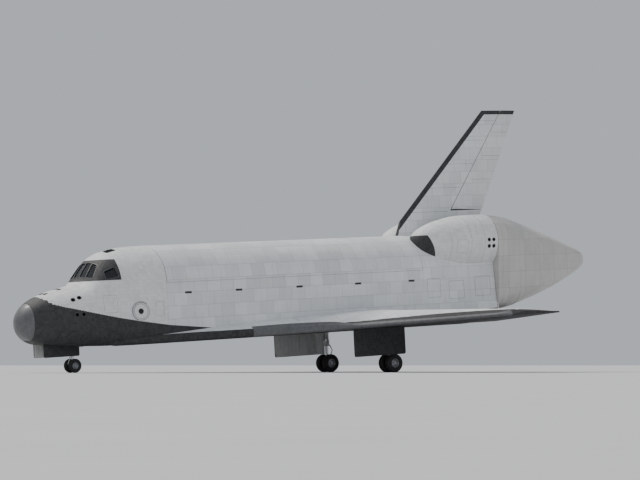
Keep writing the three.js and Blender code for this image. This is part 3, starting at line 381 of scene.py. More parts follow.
def two_tone(name, white, mask_of, roughness=0.62):
    """White covering with black tiles where mask_of gives 1."""
    f = Finish(name, roughness)
    place = f.surface_place()
    inputs = {"Vector": place, "Angle": math.radians(45)}
    turned_place = f.node("VectorRotate", inputs, rotation_type="Z_AXIS")
    light, light_relief = white(f, place)
    dark, dark_relief = black_tile(f, f.mix_vector(f.below(f.facing[2], -0.75), place, turned_place))
    mask = mask_of(f)
    base = f.mix(mask, weathered(f, light), f.mix(f.times(f.noise(0.05), 0.35), dark, 0.07))
    relief = f.math("ADD", f.times(light_relief, f.math("SUBTRACT", 1.0, mask)), f.times(dark_relief, mask))
    fine = f.bump(f.noise(0.8, detail=3), 0.05)
    rough = f.spread(f.noise(0.3), 0.3, 0.7, roughness - 0.08, roughness + 0.1)
    return f.finish(base, f.bump(relief, 0.16, fine), rough)


# Where the black tiles are: the belly's edge on the body's side by station and height, then the rest
BELLY_EDGE = ((240, 402), (291, 392), (302, 379), (325, 371), (350, 365), (400, 352), (450, 340), (500, 330),
              (576, 317), (700, 304), (1300, 300), (1515, 312))
NOSE_BLACK_X = 291
WINDOW_BLACK = {"x": 468, "y": 92, "z0": 426, "z1": 474}
EDGE_BAND = 38
WING_TIP_BLACK_Y = 459
CONTROL_BLACK_X = 1478
FIN_BAND = 16
FIN_TIP_BLACK_Z = 806
POD_BLACK = {"x": 1502, "z": 500, "slope": 0.35}
BEYOND_X = 9999


def body_mask(f):
    edge = f.curve(f.stepped(f.x), 238, 1520, BELLY_EDGE, 270, 410)
    low = f.either(f.below(f.z, edge), f.below(f.x, NOSE_BLACK_X))
    high = f.times(f.above(f.z, WINDOW_BLACK["z0"]), f.below(f.z, WINDOW_BLACK["z1"]))
    ahead = f.times(f.below(f.x, WINDOW_BLACK["x"]), f.below(f.size(f.y), WINDOW_BLACK["y"]))
    return f.either(low, f.times(ahead, high))


def wing_mask(f):
    edge = f.curve(f.size(f.y), 80, 468, [(row[0], row[1]) for row in WING_SECTIONS], 430, 1290)
    band = f.below(f.stepped(f.math("SUBTRACT", f.x, edge), 8), EDGE_BAND)
    return f.either(f.below(f.facing[2], -0.1), f.either(band, f.above(f.size(f.y), WING_TIP_BLACK_Y)))


def control_mask(f):
    return f.either(f.below(f.facing[2], 0.0), f.above(f.x, CONTROL_BLACK_X))


def fin_mask(f):
    behind = f.math("SUBTRACT", f.math("SUBTRACT", f.x, FIN_LEAD_X[0]), f.math("SUBTRACT", f.z, FIN_ROOT_Z))
    return f.either(f.below(f.stepped(behind, 4), FIN_BAND), f.above(f.z, FIN_TIP_BLACK_Z))


def pod_mask(f):
    slanted = f.stepped(f.math("ADD", f.x, f.times(f.z, POD_BLACK["slope"])))
    return f.times(f.below(slanted, POD_BLACK["x"]), f.below(f.z, POD_BLACK["z"]))


def no_mask(f):
    return f.above(f.x, BEYOND_X)


def all_mask(f):
    return f.below(f.x, BEYOND_X)


def painted(name, tones, seams=None, roughness=0.4, metallic=0.0, coat=0.0, grime=0.2, seam_tone=0.3,
            grain=0.02):
    """Painted or bare metal with panel seams and grime; seams is (width, height, seam)."""
    f = Finish(name, roughness, metallic, coat)
    base = f.mix(f.spread(f.noise(0.12, detail=6), 0.3, 0.7), *tones)
    normal = f.bump(f.noise(1.5, detail=3), grain)
    if seams:
        pattern, seam = f.panels(f.surface_place(), *seams, (1.0, 0.9), seam_tone)
        base = f.mix(1.0, base, pattern, "MULTIPLY")
        normal = f.bump(f.times(seam, -1), 0.08, normal)
    dirt = f.times(f.spread(f.noise(0.05, (1, 1, 0.3), 7, 0.65), 0.42, 0.75), grime)
    base = f.mix(dirt, base, (0.10, 0.09, 0.075))
    rough = f.spread(f.noise(0.5, detail=5), 0.3, 0.7, max(roughness - 0.1, 0.03), roughness + 0.12)
    return f.finish(base, normal, rough)


def cone_finish():
    """Painted skin of the tail cone: rings of panels with rivet lines and old stains. Its warm grey tones,
    darker than the real off-white paint, are partly painted shade.
    """
    f = Finish("cone_paint_with_shade", 0.5)
    place = f.surface_place()
    # Warm grey tones darker than the cone's off-white paint: partly painted shade
    tones = ((0.60, 0.585, 0.56), (0.53, 0.515, 0.49))
    base, seam = f.panels(place, 62, 40, 0.25, tones, (0.25, 0.24, 0.22), 0.0)
    dots = f.panels(place, 2.5, 40, 1.05, (0.0, 0.0), 1.0, 0.0)[1]
    relief = f.math("SUBTRACT", f.times(f.times(seam, dots), 0.4), seam)
    return f.finish(weathered(f, base, 0.42), f.bump(relief, 0.1, f.bump(f.noise(0.04), 0.4)),
                    f.spread(f.noise(0.2), 0.3, 0.7, 0.42, 0.6))


def glass_finish():
    f = Finish("window_glass", 0.05, 0.0, 0.6)
    f.shader.inputs["Alpha"].default_value = 0.5
    return f.finish(f.mix(f.noise(0.08), (0.006, 0.008, 0.010), (0.020, 0.024, 0.028)),
                    f.bump(f.noise(0.05), 0.05))


def rubber_finish():
    f = Finish("tyre_rubber", 0.78)
    dust = f.spread(f.noise(0.35, detail=6, rough=0.7), 0.4, 0.75)
    base = f.mix(dust, (0.020, 0.020, 0.021), (0.055, 0.052, 0.048))
    return f.finish(base, f.bump(f.noise(2.5, detail=5), 0.04), f.spread(dust, 0, 1, 0.7, 0.9))


def fabric_finish(name, tones):
    f = Finish(name, 0.85)
    weave, thread = f.panels(f.surface_place(), 0.35, 0.35, 0.06, (1.0, 0.85), 0.45)
    base = f.mix(1.0, f.mix(f.noise(0.4), *tones), weave, "MULTIPLY")
    return f.finish(base, f.bump(f.times(thread, -1), 0.05))


def console_finish():
    """Dark instrument faces with rows of small lighter keys on the side that faces the crew."""
    f = Finish("console_face", 0.45)
    place = f.surface_place()
    screens, frame_line = f.panels(place, 9, 7, 0.8, ((0.012, 0.016, 0.02), (0.03, 0.035, 0.04)),
                                   (0.17, 0.17, 0.165), 0)
    keys, gap = f.panels(place, 1.1, 1.1, 0.35, (0.55, 0.35), 0.1, 0.0)
    faces_crew = f.above(f.facing[0], 0.3)
    base = f.mix(f.times(faces_crew, f.times(frame_line, 0.8)),
                 f.mix(faces_crew, (0.02, 0.02, 0.021), screens), keys)
    return f.finish(base, f.bump(f.times(f.times(gap, faces_crew), -1), 0.08))


FRONT = two_tone("front_tiles", white_tile, body_mask)
MIDDLE = two_tone("body_blanket", blanket, body_mask, 0.7)
WING = two_tone("wing_covering", blanket, wing_mask, 0.7)
CONTROL = two_tone("control_covering", white_tile, control_mask)
FIN = two_tone("fin_covering", blanket, fin_mask, 0.7)
POD = two_tone("pod_covering", white_tile, pod_mask)
DOOR = two_tone("door_blanket", blanket, no_mask, 0.7)
BLACK = two_tone("black_tiles", white_tile, all_mask)
CARBON = painted("carbon_grey", ((0.085, 0.087, 0.092), (0.13, 0.132, 0.138)), None, 0.45, 0, 0.15, 0.25)
CONE = cone_finish()
GLASS = glass_finish()
LINER = painted("bay_cloth", ((0.70, 0.70, 0.66), (0.62, 0.62, 0.58)), (24, 24, 0.3), 0.85, 0, 0, 0.12, 0.7)
RIB = painted("bay_frame", ((0.48, 0.50, 0.44), (0.42, 0.44, 0.38)), None, 0.5, 0.2, 0, 0.2)
RADIATOR = painted("radiator_film", ((0.74, 0.75, 0.77), (0.68, 0.69, 0.72)), (146, 9, 0.12), 0.3, 0.5,
                   grain=0.003)
CABIN = painted("cabin_grey", ((0.40, 0.41, 0.42), (0.34, 0.35, 0.36)), (16, 14, 0.2), 0.6, 0, 0, 0.1, 0.6)
CONSOLE = console_finish()
SEAT = fabric_finish("seat_weave", ((0.10, 0.12, 0.16), (0.16, 0.18, 0.22)))
WHITE = painted("gear_white", ((0.70, 0.70, 0.69), (0.60, 0.60, 0.59)), None, 0.35, 0, 0.3, 0.3)
STEEL = painted("gear_steel", ((0.62, 0.63, 0.65), (0.50, 0.51, 0.53)), None, 0.22, 1.0, 0, 0.15)
HUB = painted("hub_metal", ((0.42, 0.43, 0.45), (0.32, 0.33, 0.35)), None, 0.38, 0.8, 0, 0.35)
RUBBER = rubber_finish()
THRUSTER = painted("thruster_metal", ((0.12, 0.11, 0.10), (0.05, 0.048, 0.045)), None, 0.4, 0.8, 0, 0.3)
WELL = painted("well_primer", ((0.42, 0.45, 0.36), (0.35, 0.38, 0.30)), (20, 20, 0.2), 0.6, 0.1, 0, 0.3, 0.6)
SEAM = painted("seam_dark", ((0.035, 0.035, 0.035), (0.06, 0.058, 0.055)), None, 0.9)
TRIM = painted("window_frame", ((0.06, 0.06, 0.062), (0.09, 0.09, 0.092)), None, 0.5, 0.3)
ENGINE = painted("engine_metal", ((0.30, 0.28, 0.26), (0.20, 0.19, 0.18)), (12, 12, 0.2), 0.4, 0.9)


# Curves through the section tables


def pchip(xs, ys, x):
    """Smooth curve through (xs, ys) that never overshoots, read at x."""
    xs, ys, x = (np.asarray(a, float) for a in (xs, ys, x))
    step = np.diff(xs)
    slope = np.diff(ys) / step
    tangent = np.zeros(len(xs))
    tangent[0], tangent[-1] = slope[0], slope[-1]
    for i in range(1, len(xs) - 1):
        if slope[i - 1] * slope[i] > 0:
            before, after = 2 * step[i] + step[i - 1], step[i] + 2 * step[i - 1]
            tangent[i] = (before + after) / (before / slope[i - 1] + after / slope[i])
    k = np.clip(np.searchsorted(xs, x) - 1, 0, len(step) - 1)
    t = (x - xs[k]) / step[k]
    return (
        ys[k] * (1 + 2 * t) * (1 - t) ** 2
        + tangent[k] * step[k] * t * (1 - t) ** 2
        + ys[k + 1] * t * t * (3 - 2 * t)
        + tangent[k + 1] * step[k] * t * t * (t - 1)
    )


def columns_at(table, x, key):
    """The table's columns at each x, smooth in key(x); columns after the first."""
    return np.stack([pchip(key(table[:, 0]), table[:, c], key(x)) for c in range(1, table.shape[1])], -1)


def nose_key(x):
    return np.sqrt(np.maximum(np.asarray(x, float) - NOSE_TIP_X, 0))


def cone_key(x):
    return -np.sqrt(np.maximum(CONE_END_X - np.asarray(x, float), 0))


def pod_key(x):
    return np.sqrt(np.maximum(np.asarray(x, float) - POD_SECTIONS[0, 0], 0))


# Cross-section rings

LOWER_STEPS = 12
SIDE_STEPS = 3
CROWN_STEPS = 26


def half_ring(section, wall=0.0):
    """Points (y, z) of the starboard half of a body section, from the flat belly to the crown."""
    belly, flat, wide, wide_z, shoulder, shoulder_z, top = section[:7]
    power = 2 / section[7] if len(section) > 7 else 1
    flat, wide, shoulder = max(flat - wall, 0.1), max(wide - wall, 0.2), max(shoulder - wall, 0.15)
    belly, top = belly + wall, top - wall
    wide_z = max(wide_z, belly + 0.1)
    shoulder_z = max(shoulder_z, wide_z + 0.1)
    low = np.linspace(0, math.pi / 2, LOWER_STEPS + 1)
    high = np.linspace(0, math.pi / 2, CROWN_STEPS + 1)
    side = np.linspace(0, 1, SIDE_STEPS + 1)[1:-1]
    return np.concatenate([
        np.stack([flat + (wide - flat) * np.sin(low), wide_z - (wide_z - belly) * np.cos(low)], -1),
        np.stack([wide + (shoulder - wide) * side, wide_z + (shoulder_z - wide_z) * side], -1),
        np.stack([shoulder * np.cos(high).clip(0) ** power,
                  shoulder_z + (top - shoulder_z) * np.sin(high) ** power], -1),
    ])


def body_rings(xs, wall=0.0, table=BODY_SECTIONS, key=nose_key):
    """Closed rings round the body at stations xs; wall may differ from ring to ring."""
    rings = []
    for x, section, inset in zip(xs, columns_at(table, xs, key), np.broadcast_to(wall, (len(xs),))):
        half = half_ring(section, inset)
        ring = np.concatenate([half, half[-2::-1] * (-1, 1)])
        rings.append(np.column_stack([np.full(len(ring), x), ring]))
    return np.array(rings)


def cone_ring_at(xs, wall):
    return body_rings(np.asarray(xs, float), wall, CONE_SECTIONS, cone_key)


def body_section(x):
    return columns_at(BODY_SECTIONS, np.array([float(x)]), nose_key)[0]


def crown_z(x, y):
    """Height of the crown's surface at a station and a half-width."""
    shoulder, shoulder_z, top = body_section(x)[4:]
    return shoulder_z + (top - shoulder_z) * math.sqrt(max(1 - (y / shoulder) ** 2, 0))


def side_y(x, z):
    """Half-width of the body's side at a station and a height between chine and shoulder."""
    wide, wide_z, shoulder, shoulder_z = body_section(x)[2:6]
    return wide + (shoulder - wide) * min(max((z - wide_z) / (shoulder_z - wide_z), 0), 1)


# Solids, with their points in orbiter inches


def linked(mesh):
    made = bpy.data.objects.new("form", mesh)
    bpy.context.scene.collection.objects.link(made)
    return made


def form(points, faces, material):
    mesh = bpy.data.meshes.new("form")
    mesh.from_pydata(np.asarray(points, float).reshape(-1, 3).tolist(), [], faces)
    mesh.materials.append(material)
    work = bmesh.new()
    work.from_mesh(mesh)
    bmesh.ops.recalc_face_normals(work, faces=work.faces)
    work.to_mesh(mesh)
    work.free()
    return linked(mesh)


def loft(rings, material, around=False):
    """Solid through rings of points; around joins the last ring to the first, else the ends are capped."""
    rings = np.asarray(rings, float)
    rows, columns = rings.shape[:2]
    faces = []
    for row in range(rows if around else rows - 1):
        here, there = row * columns, (row + 1) % rows * columns
        for column in range(columns):
            side = (column + 1) % columns
            faces.append((here + column, here + side, there + side, there + column))
    if not around:
        faces.append(tuple(reversed(range(columns))))
        faces.append(tuple(range((rows - 1) * columns, rows * columns)))
    return form(rings, faces, material)


AXES = {"x": (0, 1, 2), "y": (1, 0, 2), "z": (2, 0, 1)}


def prism(axis, outline, start, end, material=SEAM):
    """Solid between two offsets along an axis, from an outline in the other two axes."""
    along, first, second = AXES[axis]
    outline = np.asarray(outline, float)
    rings = np.zeros((2, len(outline), 3))
    rings[0, :, along], rings[1, :, along] = start, end
    rings[:, :, first] = outline[:, 0]
    rings[:, :, second] = outline[:, 1]
    return loft(rings, material)


def rectangle(u0, u1, v0, v1, radius=0.0):
    corners = [(u0, v0), (u1, v0), (u1, v1), (u0, v1)]
    return rounded(corners, radius) if radius else corners


def block(x0, x1, y0, y1, z0, z1, material=SEAM, bevel=0.0):
    """Box with rounded edges where bevel is more than 0."""
    made = prism("x", rectangle(y0, y1, z0, z1), x0, x1, material)
    if bevel:
        work = bmesh.new()
        work.from_mesh(made.data)
        bmesh.ops.bevel(work, geom=work.edges[:], offset=bevel, segments=3, profile=0.5, affect="EDGES")
        work.to_mesh(made.data)
        work.free()
    return made


def slab(x0, x1, y, z0, z1, material=SEAM):
    """Box across the centre plane."""
    return block(x0, x1, -y, y, z0, z1, material)


def turned(start, end, profile, material, sides=32):
    """Solid of revolution about the line from start to end; profile rows are share of the line, radius."""
    start, end = np.asarray(start, float), np.asarray(end, float)
    along = Vector(end - start).normalized()
    across = along.cross(Vector((1, 0, 0) if abs(along.z) > 0.9 else (0, 0, 1))).normalized()
    angle = np.linspace(0, 2 * math.pi, sides, endpoint=False)[:, None]
    circle = np.cos(angle) * np.array(across) + np.sin(angle) * np.array(along.cross(across))
    return loft([start + share * (end - start) + radius * circle for share, radius in profile], material)


def bar(start, end, radius, material=SEAM, end_radius=None, sides=32):
    end_radius = radius if end_radius is None else end_radius
    return turned(start, end, [(0, radius), (1, end_radius)], material, sides)


def long_bar(start, end, radius, material, sides=32):
    """Bar that runs past both ends, for cutting through."""
    start, end = np.asarray(start, float), np.asarray(end, float)
    return bar(start - 0.2 * (end - start), end + 0.2 * (end - start), radius, material, sides=sides)


def tube(start, end, outer, inner, material, sides=48):
    return cut(bar(start, end, outer, material, sides=sides), [long_bar(start, end, inner, material, sides)])


def rounded(outline, radius, steps=5):
    """Outline with each corner turned into an arc-like curve."""
    outline = [np.asarray(p, float) for p in outline]
    points = []
    for i, corner in enumerate(outline):
        before, after = outline[i - 1] - corner, outline[(i + 1) % len(outline)] - corner
        start = corner + before / np.linalg.norm(before) * radius
        end = corner + after / np.linalg.norm(after) * radius
        for t in np.linspace(0, 1, steps + 1):
            points.append((1 - t) ** 2 * start + 2 * t * (1 - t) * corner + t * t * end)
    return np.array(points)


def grown(outline, amount):
    """Outline moved outwards by amount on every side."""
    outline = np.asarray(outline, float)
    nxt, prev = np.roll(outline, -1, 0), np.roll(outline, 1, 0)
    tangent = nxt - prev
    tangent /= np.linalg.norm(tangent, axis=1)[:, None]
    normal = np.column_stack([tangent[:, 1], -tangent[:, 0]])
    area = np.sum(outline[:, 0] * nxt[:, 1] - nxt[:, 0] * outline[:, 1])
    return outline + normal * (amount if area > 0 else -amount)


def drop(made):
    mesh = made.data
    bpy.data.objects.remove(made)
    bpy.data.meshes.remove(mesh)


def combine(base, tools, operation):
    """Cuts, joins or intersects base with each tool in turn, and drops the tools."""
    for tool in tools:
        change = base.modifiers.new("combine", "BOOLEAN")
        change.operation = operation
        change.solver = "MANIFOLD"
        change.material_mode = "TRANSFER"
        change.object = tool
    old = base.data
    base.data = bpy.data.meshes.new_from_object(base.evaluated_get(bpy.context.evaluated_depsgraph_get()))
    base.modifiers.clear()
    bpy.data.meshes.remove(old)
    for tool in tools:
        drop(tool)
    return base


def cut(base, tools):
    return combine(base, tools, "DIFFERENCE")


def meet(base, tools):
    return combine(base, tools, "INTERSECT")


def add(base, tools):
    return combine(base, tools, "UNION")


def copy(made):
    return linked(made.data.copy())


def mirrored(made):
    """Copy on the other side of the centre plane."""
    twin = copy(made)
    twin.data.transform(Matrix.Scale(-1, 4, (0, 1, 0)))
    twin.data.flip_normals()
    return twin


def twins(parts):
    """The parts and their mirror images."""
    return [made for part in parts for made in (part, mirrored(part))]


def trench(points, ups, depth=0.4, width=0.5):
    """Solid to cut a groove along points on a surface; ups point out of the surface."""
    points, ups = np.asarray(points, float), np.asarray(ups, float)
    across = np.cross(np.gradient(points, axis=0), np.broadcast_to(ups, points.shape))
    side = across / np.linalg.norm(across, axis=1)[:, None] * width / 2
    low, high = points - ups * depth, points + ups * 2.0
    return loft(np.stack([low - side, low + side, high + side, high - side], 1), SEAM)


def finished(name, parts, body="airframe", nodes=(), smooth=32):
    """One piece: joined, put in the world, riding on its body and standing for its CAD nodes."""
    made = parts[0]
    if len(parts) > 1:
        with bpy.context.temp_override(active_object=made, object=made, selected_objects=parts,
                                       selected_editable_objects=parts):
            bpy.ops.object.join()
    made.name = made.data.name = name
    made.data.transform(TO_WORLD)
    made.data.shade_smooth()
    made.data.set_sharp_from_angle(angle=math.radians(smooth))
    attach(made, body)
    if nodes:
        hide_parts(*nodes)
    return made


def piece(node, parts, body="airframe"):
    finished(f"{node}_visual", parts, body, [node])


def pair(node, parts, body="airframe"):
    """The starboard piece and its mirror image to port; {} in the names is the side."""
    port = [mirrored(part) for part in parts]
    for side, made in (("right", parts), ("left", port)):
        piece(node.format(side), made, body.format(side))


# Shared cutting tools


def body_loft(x0, x1, wall=0.0, material=SEAM, shift=0.0, count=60):
    """The smooth body between two stations, drawn in by a wall and moved aft by shift."""
    rings = body_rings(np.linspace(x0, x1, count), wall)
    rings[:, :, 0] += shift
    return loft(rings, material)


def body_shell(x0, x1, outer, inner, material=SEAM):
    """Skin of the body between two walls."""
    return cut(body_loft(x0, x1, outer, material), [body_loft(x0 - 3, x1 + 3, inner, material)])


def seam_ring(axis, outline, start, end, width=0.5, material=SEAM):
    """Prism in the shape of a closed line, for seams round doors and panels."""
    inner = prism(axis, grown(outline, -width / 2), start - 1, end + 1, material)
    return cut(prism(axis, grown(outline, width / 2), start, end, material), [inner])


def panel_seams(shell, axis, start, end, width, radius, rows):
    """Grooves round panels in a shell; rows are the panels' extents across the axis."""
    return [meet(seam_ring(axis, rectangle(*row, radius), start, end, width), [copy(shell)]) for row in rows]


def seam_stations(x0, x1, seams, depth=0.4, width=0.5, count=60):
    """Stations and walls for a loft with ring-shaped seams and softened ends."""
    rows = [(x, 0.0) for x in np.linspace(x0 + 0.4, x1 - 0.4, count) if min(abs(x - s) for s in seams) > 1.5]
    rows += [(x0, 0.35), (x1, 0.35)]
    for s in seams:
        rows += [(s - width, 0), (s - width / 2, depth), (s + width / 2, depth), (s + width, 0)]
    return np.array(sorted(rows)).T


def cabin_inside(wall, x_end=CABIN_AFT_X + 60, material=CABIN):
    return body_loft(CABIN_FRONT_X, x_end, wall, material, wall * 0.6, 90)


def thrusters(rows, shell, depth=9.0):
    """Tools and rims of thruster openings in the skin; rows are point, direction and radius."""
    tools, rims = [], []
    for point, direction, radius in rows:
        point, direction = np.array(point, float), np.array(direction, float)
        direction /= np.linalg.norm(direction)
        line = (point - direction * 8, point + direction * 8)
        tools.append(bar(point - direction * depth, line[1], radius * 0.8, THRUSTER, radius * 1.1))
        rims.append(meet(tube(*line, radius + 1.2, radius, TRIM, 32), [copy(shell)]))
    return tools, rims


# Nose cap

SOFT_EDGE = 0.4
nose_x = NOSE_TIP_X + np.linspace(0.05, nose_key(NOSE_CAP_X), 18) ** 2
cap_x = [*nose_x[:-1], NOSE_CAP_X - SOFT_EDGE, NOSE_CAP_X]
cap_rings = body_rings(cap_x, [*np.zeros(len(nose_x)), SOFT_EDGE])
piece("nose_cap", [loft(cap_rings, CARBON)])

# Nose thruster module

nose_shell = body_shell(280, 398, -0.35, 1.2, TRIM)
module_outline = rectangle(RCS["x0"] + 0.25, RCS["x1"] - 0.25, -RCS["y"] + 0.25, RCS["y"] - 0.25,
                           RCS["corner"])
module = meet(body_loft(285, 395, 0, FRONT), [prism("z", module_outline, RCS["z"], 480, BLACK)])
ports = [((x, y, crown_z(x, y)), (way, y / 60, up), radius) for x, y, way, up, radius in (
    (344, -15, 0, 1, 4.4), (344, 0, 0, 1, 4.4), (344, 15, 0, 1, 4.4),
    (310, -13, -0.75, 0.66, 4.2), (306, 0, -0.75, 0.66, 4.2), (310, 13, -0.75, 0.66, 4.2),
)]
tools, rims = thrusters(ports, nose_shell)
module = cut(module, tools + panel_seams(
    body_shell(285, 395, -1, 0.3), "z", 372, 480, 0.35, 2,
    ((324, 336, -24, 24), (354, 374, -34, -4), (354, 374, 4, 34)),
))
finished("forward_thruster_module_visual", [module, *rims], nodes=["forward_rcs_module"])

# Forward fuselage: cabin walls with windows, hatch opening, nose wheel well and side thrusters

front_start_x = NOSE_CAP_X + GAP
front_x = [*(NOSE_TIP_X + np.linspace(nose_key(front_start_x), 11, 12) ** 2)]
front_x += [*np.linspace(364, CABIN_AFT_X, 49)[:-1]]
front_x = [front_x[0], front_x[0] + SOFT_EDGE, *front_x[1:], CABIN_AFT_X - SOFT_EDGE, CABIN_AFT_X]
front_walls = [0.35, *np.zeros(len(front_x) - 2), 0.35]
front_shell = body_shell(386, 500, -0.35, 2.2, TRIM)
glass_shell = body_shell(386, 500, 3.0, 3.9, GLASS)
windows = [("x", [(side * y, z) for y, z in pane], 388, 452) for side in SIDES for pane in FRONT_PANES]
windows += [("y", SIDE_PANE, side * 70 - 30, side * 70 + 40) for side in SIDES]
windows += [("z", rectangle(OVERHEAD["x0"], OVERHEAD["x1"], side * 17 - 10, side * 17 + 10), 474, 520)
            for side in SIDES]
openings, frames, panes = [], [], []
for axis, outline, start, end in windows:
    outline = rounded(outline, PANE_CORNER)
    openings.append(prism(axis, outline, start, end, TRIM))
    frame_ring = seam_ring(axis, grown(outline, 0.9), start + 0.5, end - 0.5, 1.7, TRIM)
    frames.append(meet(frame_ring, [copy(front_shell)]))
    panes.append(meet(prism(axis, grown(outline, -0.05), start + 1, end - 1, GLASS), [copy(glass_shell)]))
hatch_line = ((HATCH["x"], -125, HATCH["z"]), (HATCH["x"], -60, HATCH["z"]))
ports = []
for side in SIDES:
    for x, z in ((352, 386), (367, 390)):
        shoulder, shoulder_z, top = body_section(x)[4:]
        y = shoulder * math.sqrt(1 - ((z - shoulder_z) / (top - shoulder_z)) ** 2)
        ports.append(((x, side * y, z), (0, side, 0.5), 4.0))
    ports += [((x, side * side_y(x, 352), 352), (0, side, -0.35), 4.0) for x in (356.0, 371.0)]
tools, rims = thrusters(ports, nose_shell)
skin_shell = body_shell(262, 578, -1, 0.3)
front = cut(loft(body_rings(front_x, front_walls), FRONT), [
    cabin_inside(CABIN_WALL),
    prism("z", rectangle(RCS["x0"], RCS["x1"], -RCS["y"], RCS["y"], RCS["corner"]), RCS["z"] - GAP, 480),
    block(NOSE_WELL["x0"], NOSE_WELL["x1"], -NOSE_WELL["y"], NOSE_WELL["y"], 250, NOSE_WELL["z"], WELL),
    bar(*hatch_line, HATCH["radius"] + HATCH["clearance"], TRIM, sides=72),
    *openings, *tools,
    *panel_seams(skin_shell, "z", 380, 520, 0.4, 3,
                 ((384, 396, -30, -10), (384, 396, 10, 30), (500, 530, -40, -14), (500, 530, 14, 40))),
    *panel_seams(skin_shell, "y", -130, 130, 0.4, 3,
                 ((300, 322, 318, 346), (420, 452, 352, 392), (545, 566, 340, 372))),
])
rib_y = NOSE_WELL["y"] - 0.7
well_parts = [block(x, x + 1.2, rib_y - 0.7, rib_y + 0.7, 292, 351.9, RIB) for x in range(300, 365, 16)]
well_parts += [bar((294, 18, z), (372, 18, z), 0.7, STEEL, sides=12) for z in (344, 347)]
hatch_lip = tube((HATCH["x"], -99.5, HATCH["z"]), (HATCH["x"], -91.5, HATCH["z"]), HATCH["radius"] + 2.4,
                 HATCH["radius"] + HATCH["clearance"], CABIN, 72)
piece("forward_fuselage", [front, *frames, *rims, *twins(well_parts), hatch_lip])
inner_panes = cut(cabin_inside(CABIN_WALL + GAP, material=GLASS),
                  [cabin_inside(CABIN_WALL + 1.5, CABIN_AFT_X + 80, GLASS)])
overhead_inner = meet(copy(inner_panes), [slab(465, 492, 30, 470, 500, GLASS)])
windshield_inner = meet(inner_panes, [slab(400, 464, 95, 426, 483, GLASS)])
piece("windshield_panes", [*panes[:6], windshield_inner])
piece("overhead_panes", [*panes[6:], overhead_inner])

# Side hatch with its round window

hatch = meet(body_loft(484, 532, 0, FRONT), [bar(*hatch_line, HATCH["radius"], TRIM, sides=72)])
hatch = cut(hatch, [body_loft(470, 545, HATCH["wall"], CABIN),
                    bar(*hatch_line, HATCH["window"], TRIM, sides=48)])
hatch_shell = body_shell(484, 532, -0.3, 1.5, TRIM)
hatch_trim = [meet(tube(*hatch_line, outer, inner, TRIM, 64), [copy(hatch_shell)])
              for outer, inner in ((HATCH["window"] + 1.6, HATCH["window"] + 0.1), (17.2, 16.7))]
hatch_pane = meet(bar(*hatch_line, HATCH["window"] - 0.05, GLASS, sides=48),
                  [body_shell(484, 532, 2.0, 2.8, GLASS)])
handle_y = -side_y(HATCH["x"], HATCH["z"]) + HATCH["wall"]
hatch_handle = [bar((500, handle_y, 340), (500, handle_y + 1.8, 340), 0.9, STEEL, sides=16),
                bar((497, handle_y + 1.8, 336), (503, handle_y + 1.8, 344), 0.6, STEEL, sides=16)]
piece("side_hatch", [hatch, *hatch_trim, hatch_pane, *hatch_handle], "hatch")

# Cabin inside

BULKHEAD_X = CABIN_AFT_X - 8
lining = cabin_inside(CABIN_WALL + GAP)
pane_outlines = [rectangle(side * 14 - 8, side * 14 + 8, 462, 482, PANE_CORNER) for side in SIDES]
bulkhead = cut(meet(copy(lining), [slab(BULKHEAD_X, CABIN_AFT_X, 700, 100, 900, CABIN)]),
               [prism("x", outline, 550, 600, TRIM) for outline in pane_outlines])
bulkhead_trim = [seam_ring("x", grown(outline, 1.1), CABIN_AFT_X - 0.2, CABIN_AFT_X + 0.6, 2, TRIM)
                 for outline in pane_outlines]
piece("cabin_aft_bulkhead", [bulkhead, *bulkhead_trim])
piece("aft_panes", [block(BULKHEAD_X - 1.5, BULKHEAD_X - GAP, -26, 26, 459, 485, GLASS, 0.3)])
deck = meet(copy(lining), [slab(425, BULKHEAD_X - GAP, 100, DECK_Z - 3, DECK_Z, CABIN)])
rails = twins([block(450, 492, y - 0.6, y + 0.6, DECK_Z - 0.5, DECK_Z + 0.4, STEEL) for y in (17.5, 30.5)])
piece("flight_deck_floor", [deck, *rails])
console_outline = [(424, DECK_Z + GAP), (442, DECK_Z + GAP), (442, 424), (438, 433), (430, 438), (424, 438)]
console = meet(prism("y", rounded(console_outline, 1.0), -62, 62, CONSOLE), [cabin_inside(CABIN_WALL + 2)])
sticks = twins([bar((446, 24, DECK_Z), (447, 24, 430), 0.7, TRIM, sides=12),
                bar((447, 24, 429), (447.6, 24, 434), 1.3, TRIM, sides=16)])
centre_stand = block(442.2, 468, -7, 7, DECK_Z + GAP, 427, CONSOLE, 0.8)
piece("instrument_console", [console, centre_stand, *sticks])

# Seats: rows are stations, offsets from the seat's middle, heights over the deck, finish, bevel
SEAT_FRAME = (
    (458, 477, -9, 9, 14, 15.4, TRIM, 0.5),
    (476.2, 478, -9, 9, 15, 40, TRIM, 0.5),
    (476.4, 478, -4.5, 4.5, 39, 48, TRIM, 0.5),
    (463, 473, -5, 5, 0.5, 14.2, CABIN, 0.8),
    (459, 472, -9.8, -8.4, 21, 22.6, TRIM, 0.5),
    (459, 472, 8.4, 9.8, 21, 22.6, TRIM, 0.5),
)
SEAT_CUSHIONS = (
    (458.6, 475.4, -8, 8, 15.4, 18.4, SEAT, 1.2),
    (473.4, 476.2, -8, 8, 19, 38, SEAT, 1.2),
    (474.2, 476.4, -4.2, 4.2, 40, 47, SEAT, 0.9),
)
for name, node, middle in (("left", "commander_seat", -24), ("right", "pilot_seat", 24)):
    seat_frame, cushions = (
        [block(x0, x1, middle + y0, middle + y1, DECK_Z + z0, DECK_Z + z1, material, bevel)
         for x0, x1, y0, y1, z0, z1, material, bevel in rows] for rows in (SEAT_FRAME, SEAT_CUSHIONS)
    )
    seat_frame += [bar((471, y, DECK_Z + 15), (471, y, DECK_Z + 21.5), 0.6, STEEL, sides=12)
                   for y in (middle - 9.1, middle + 9.1)]
    finished(f"crew_seat_frame_{name}", seat_frame, nodes=[node])
    finished(f"crew_seat_cushions_{name}", cushions, smooth=80)

# Middle fuselage: a trough with frames, sill longerons, vents and end walls

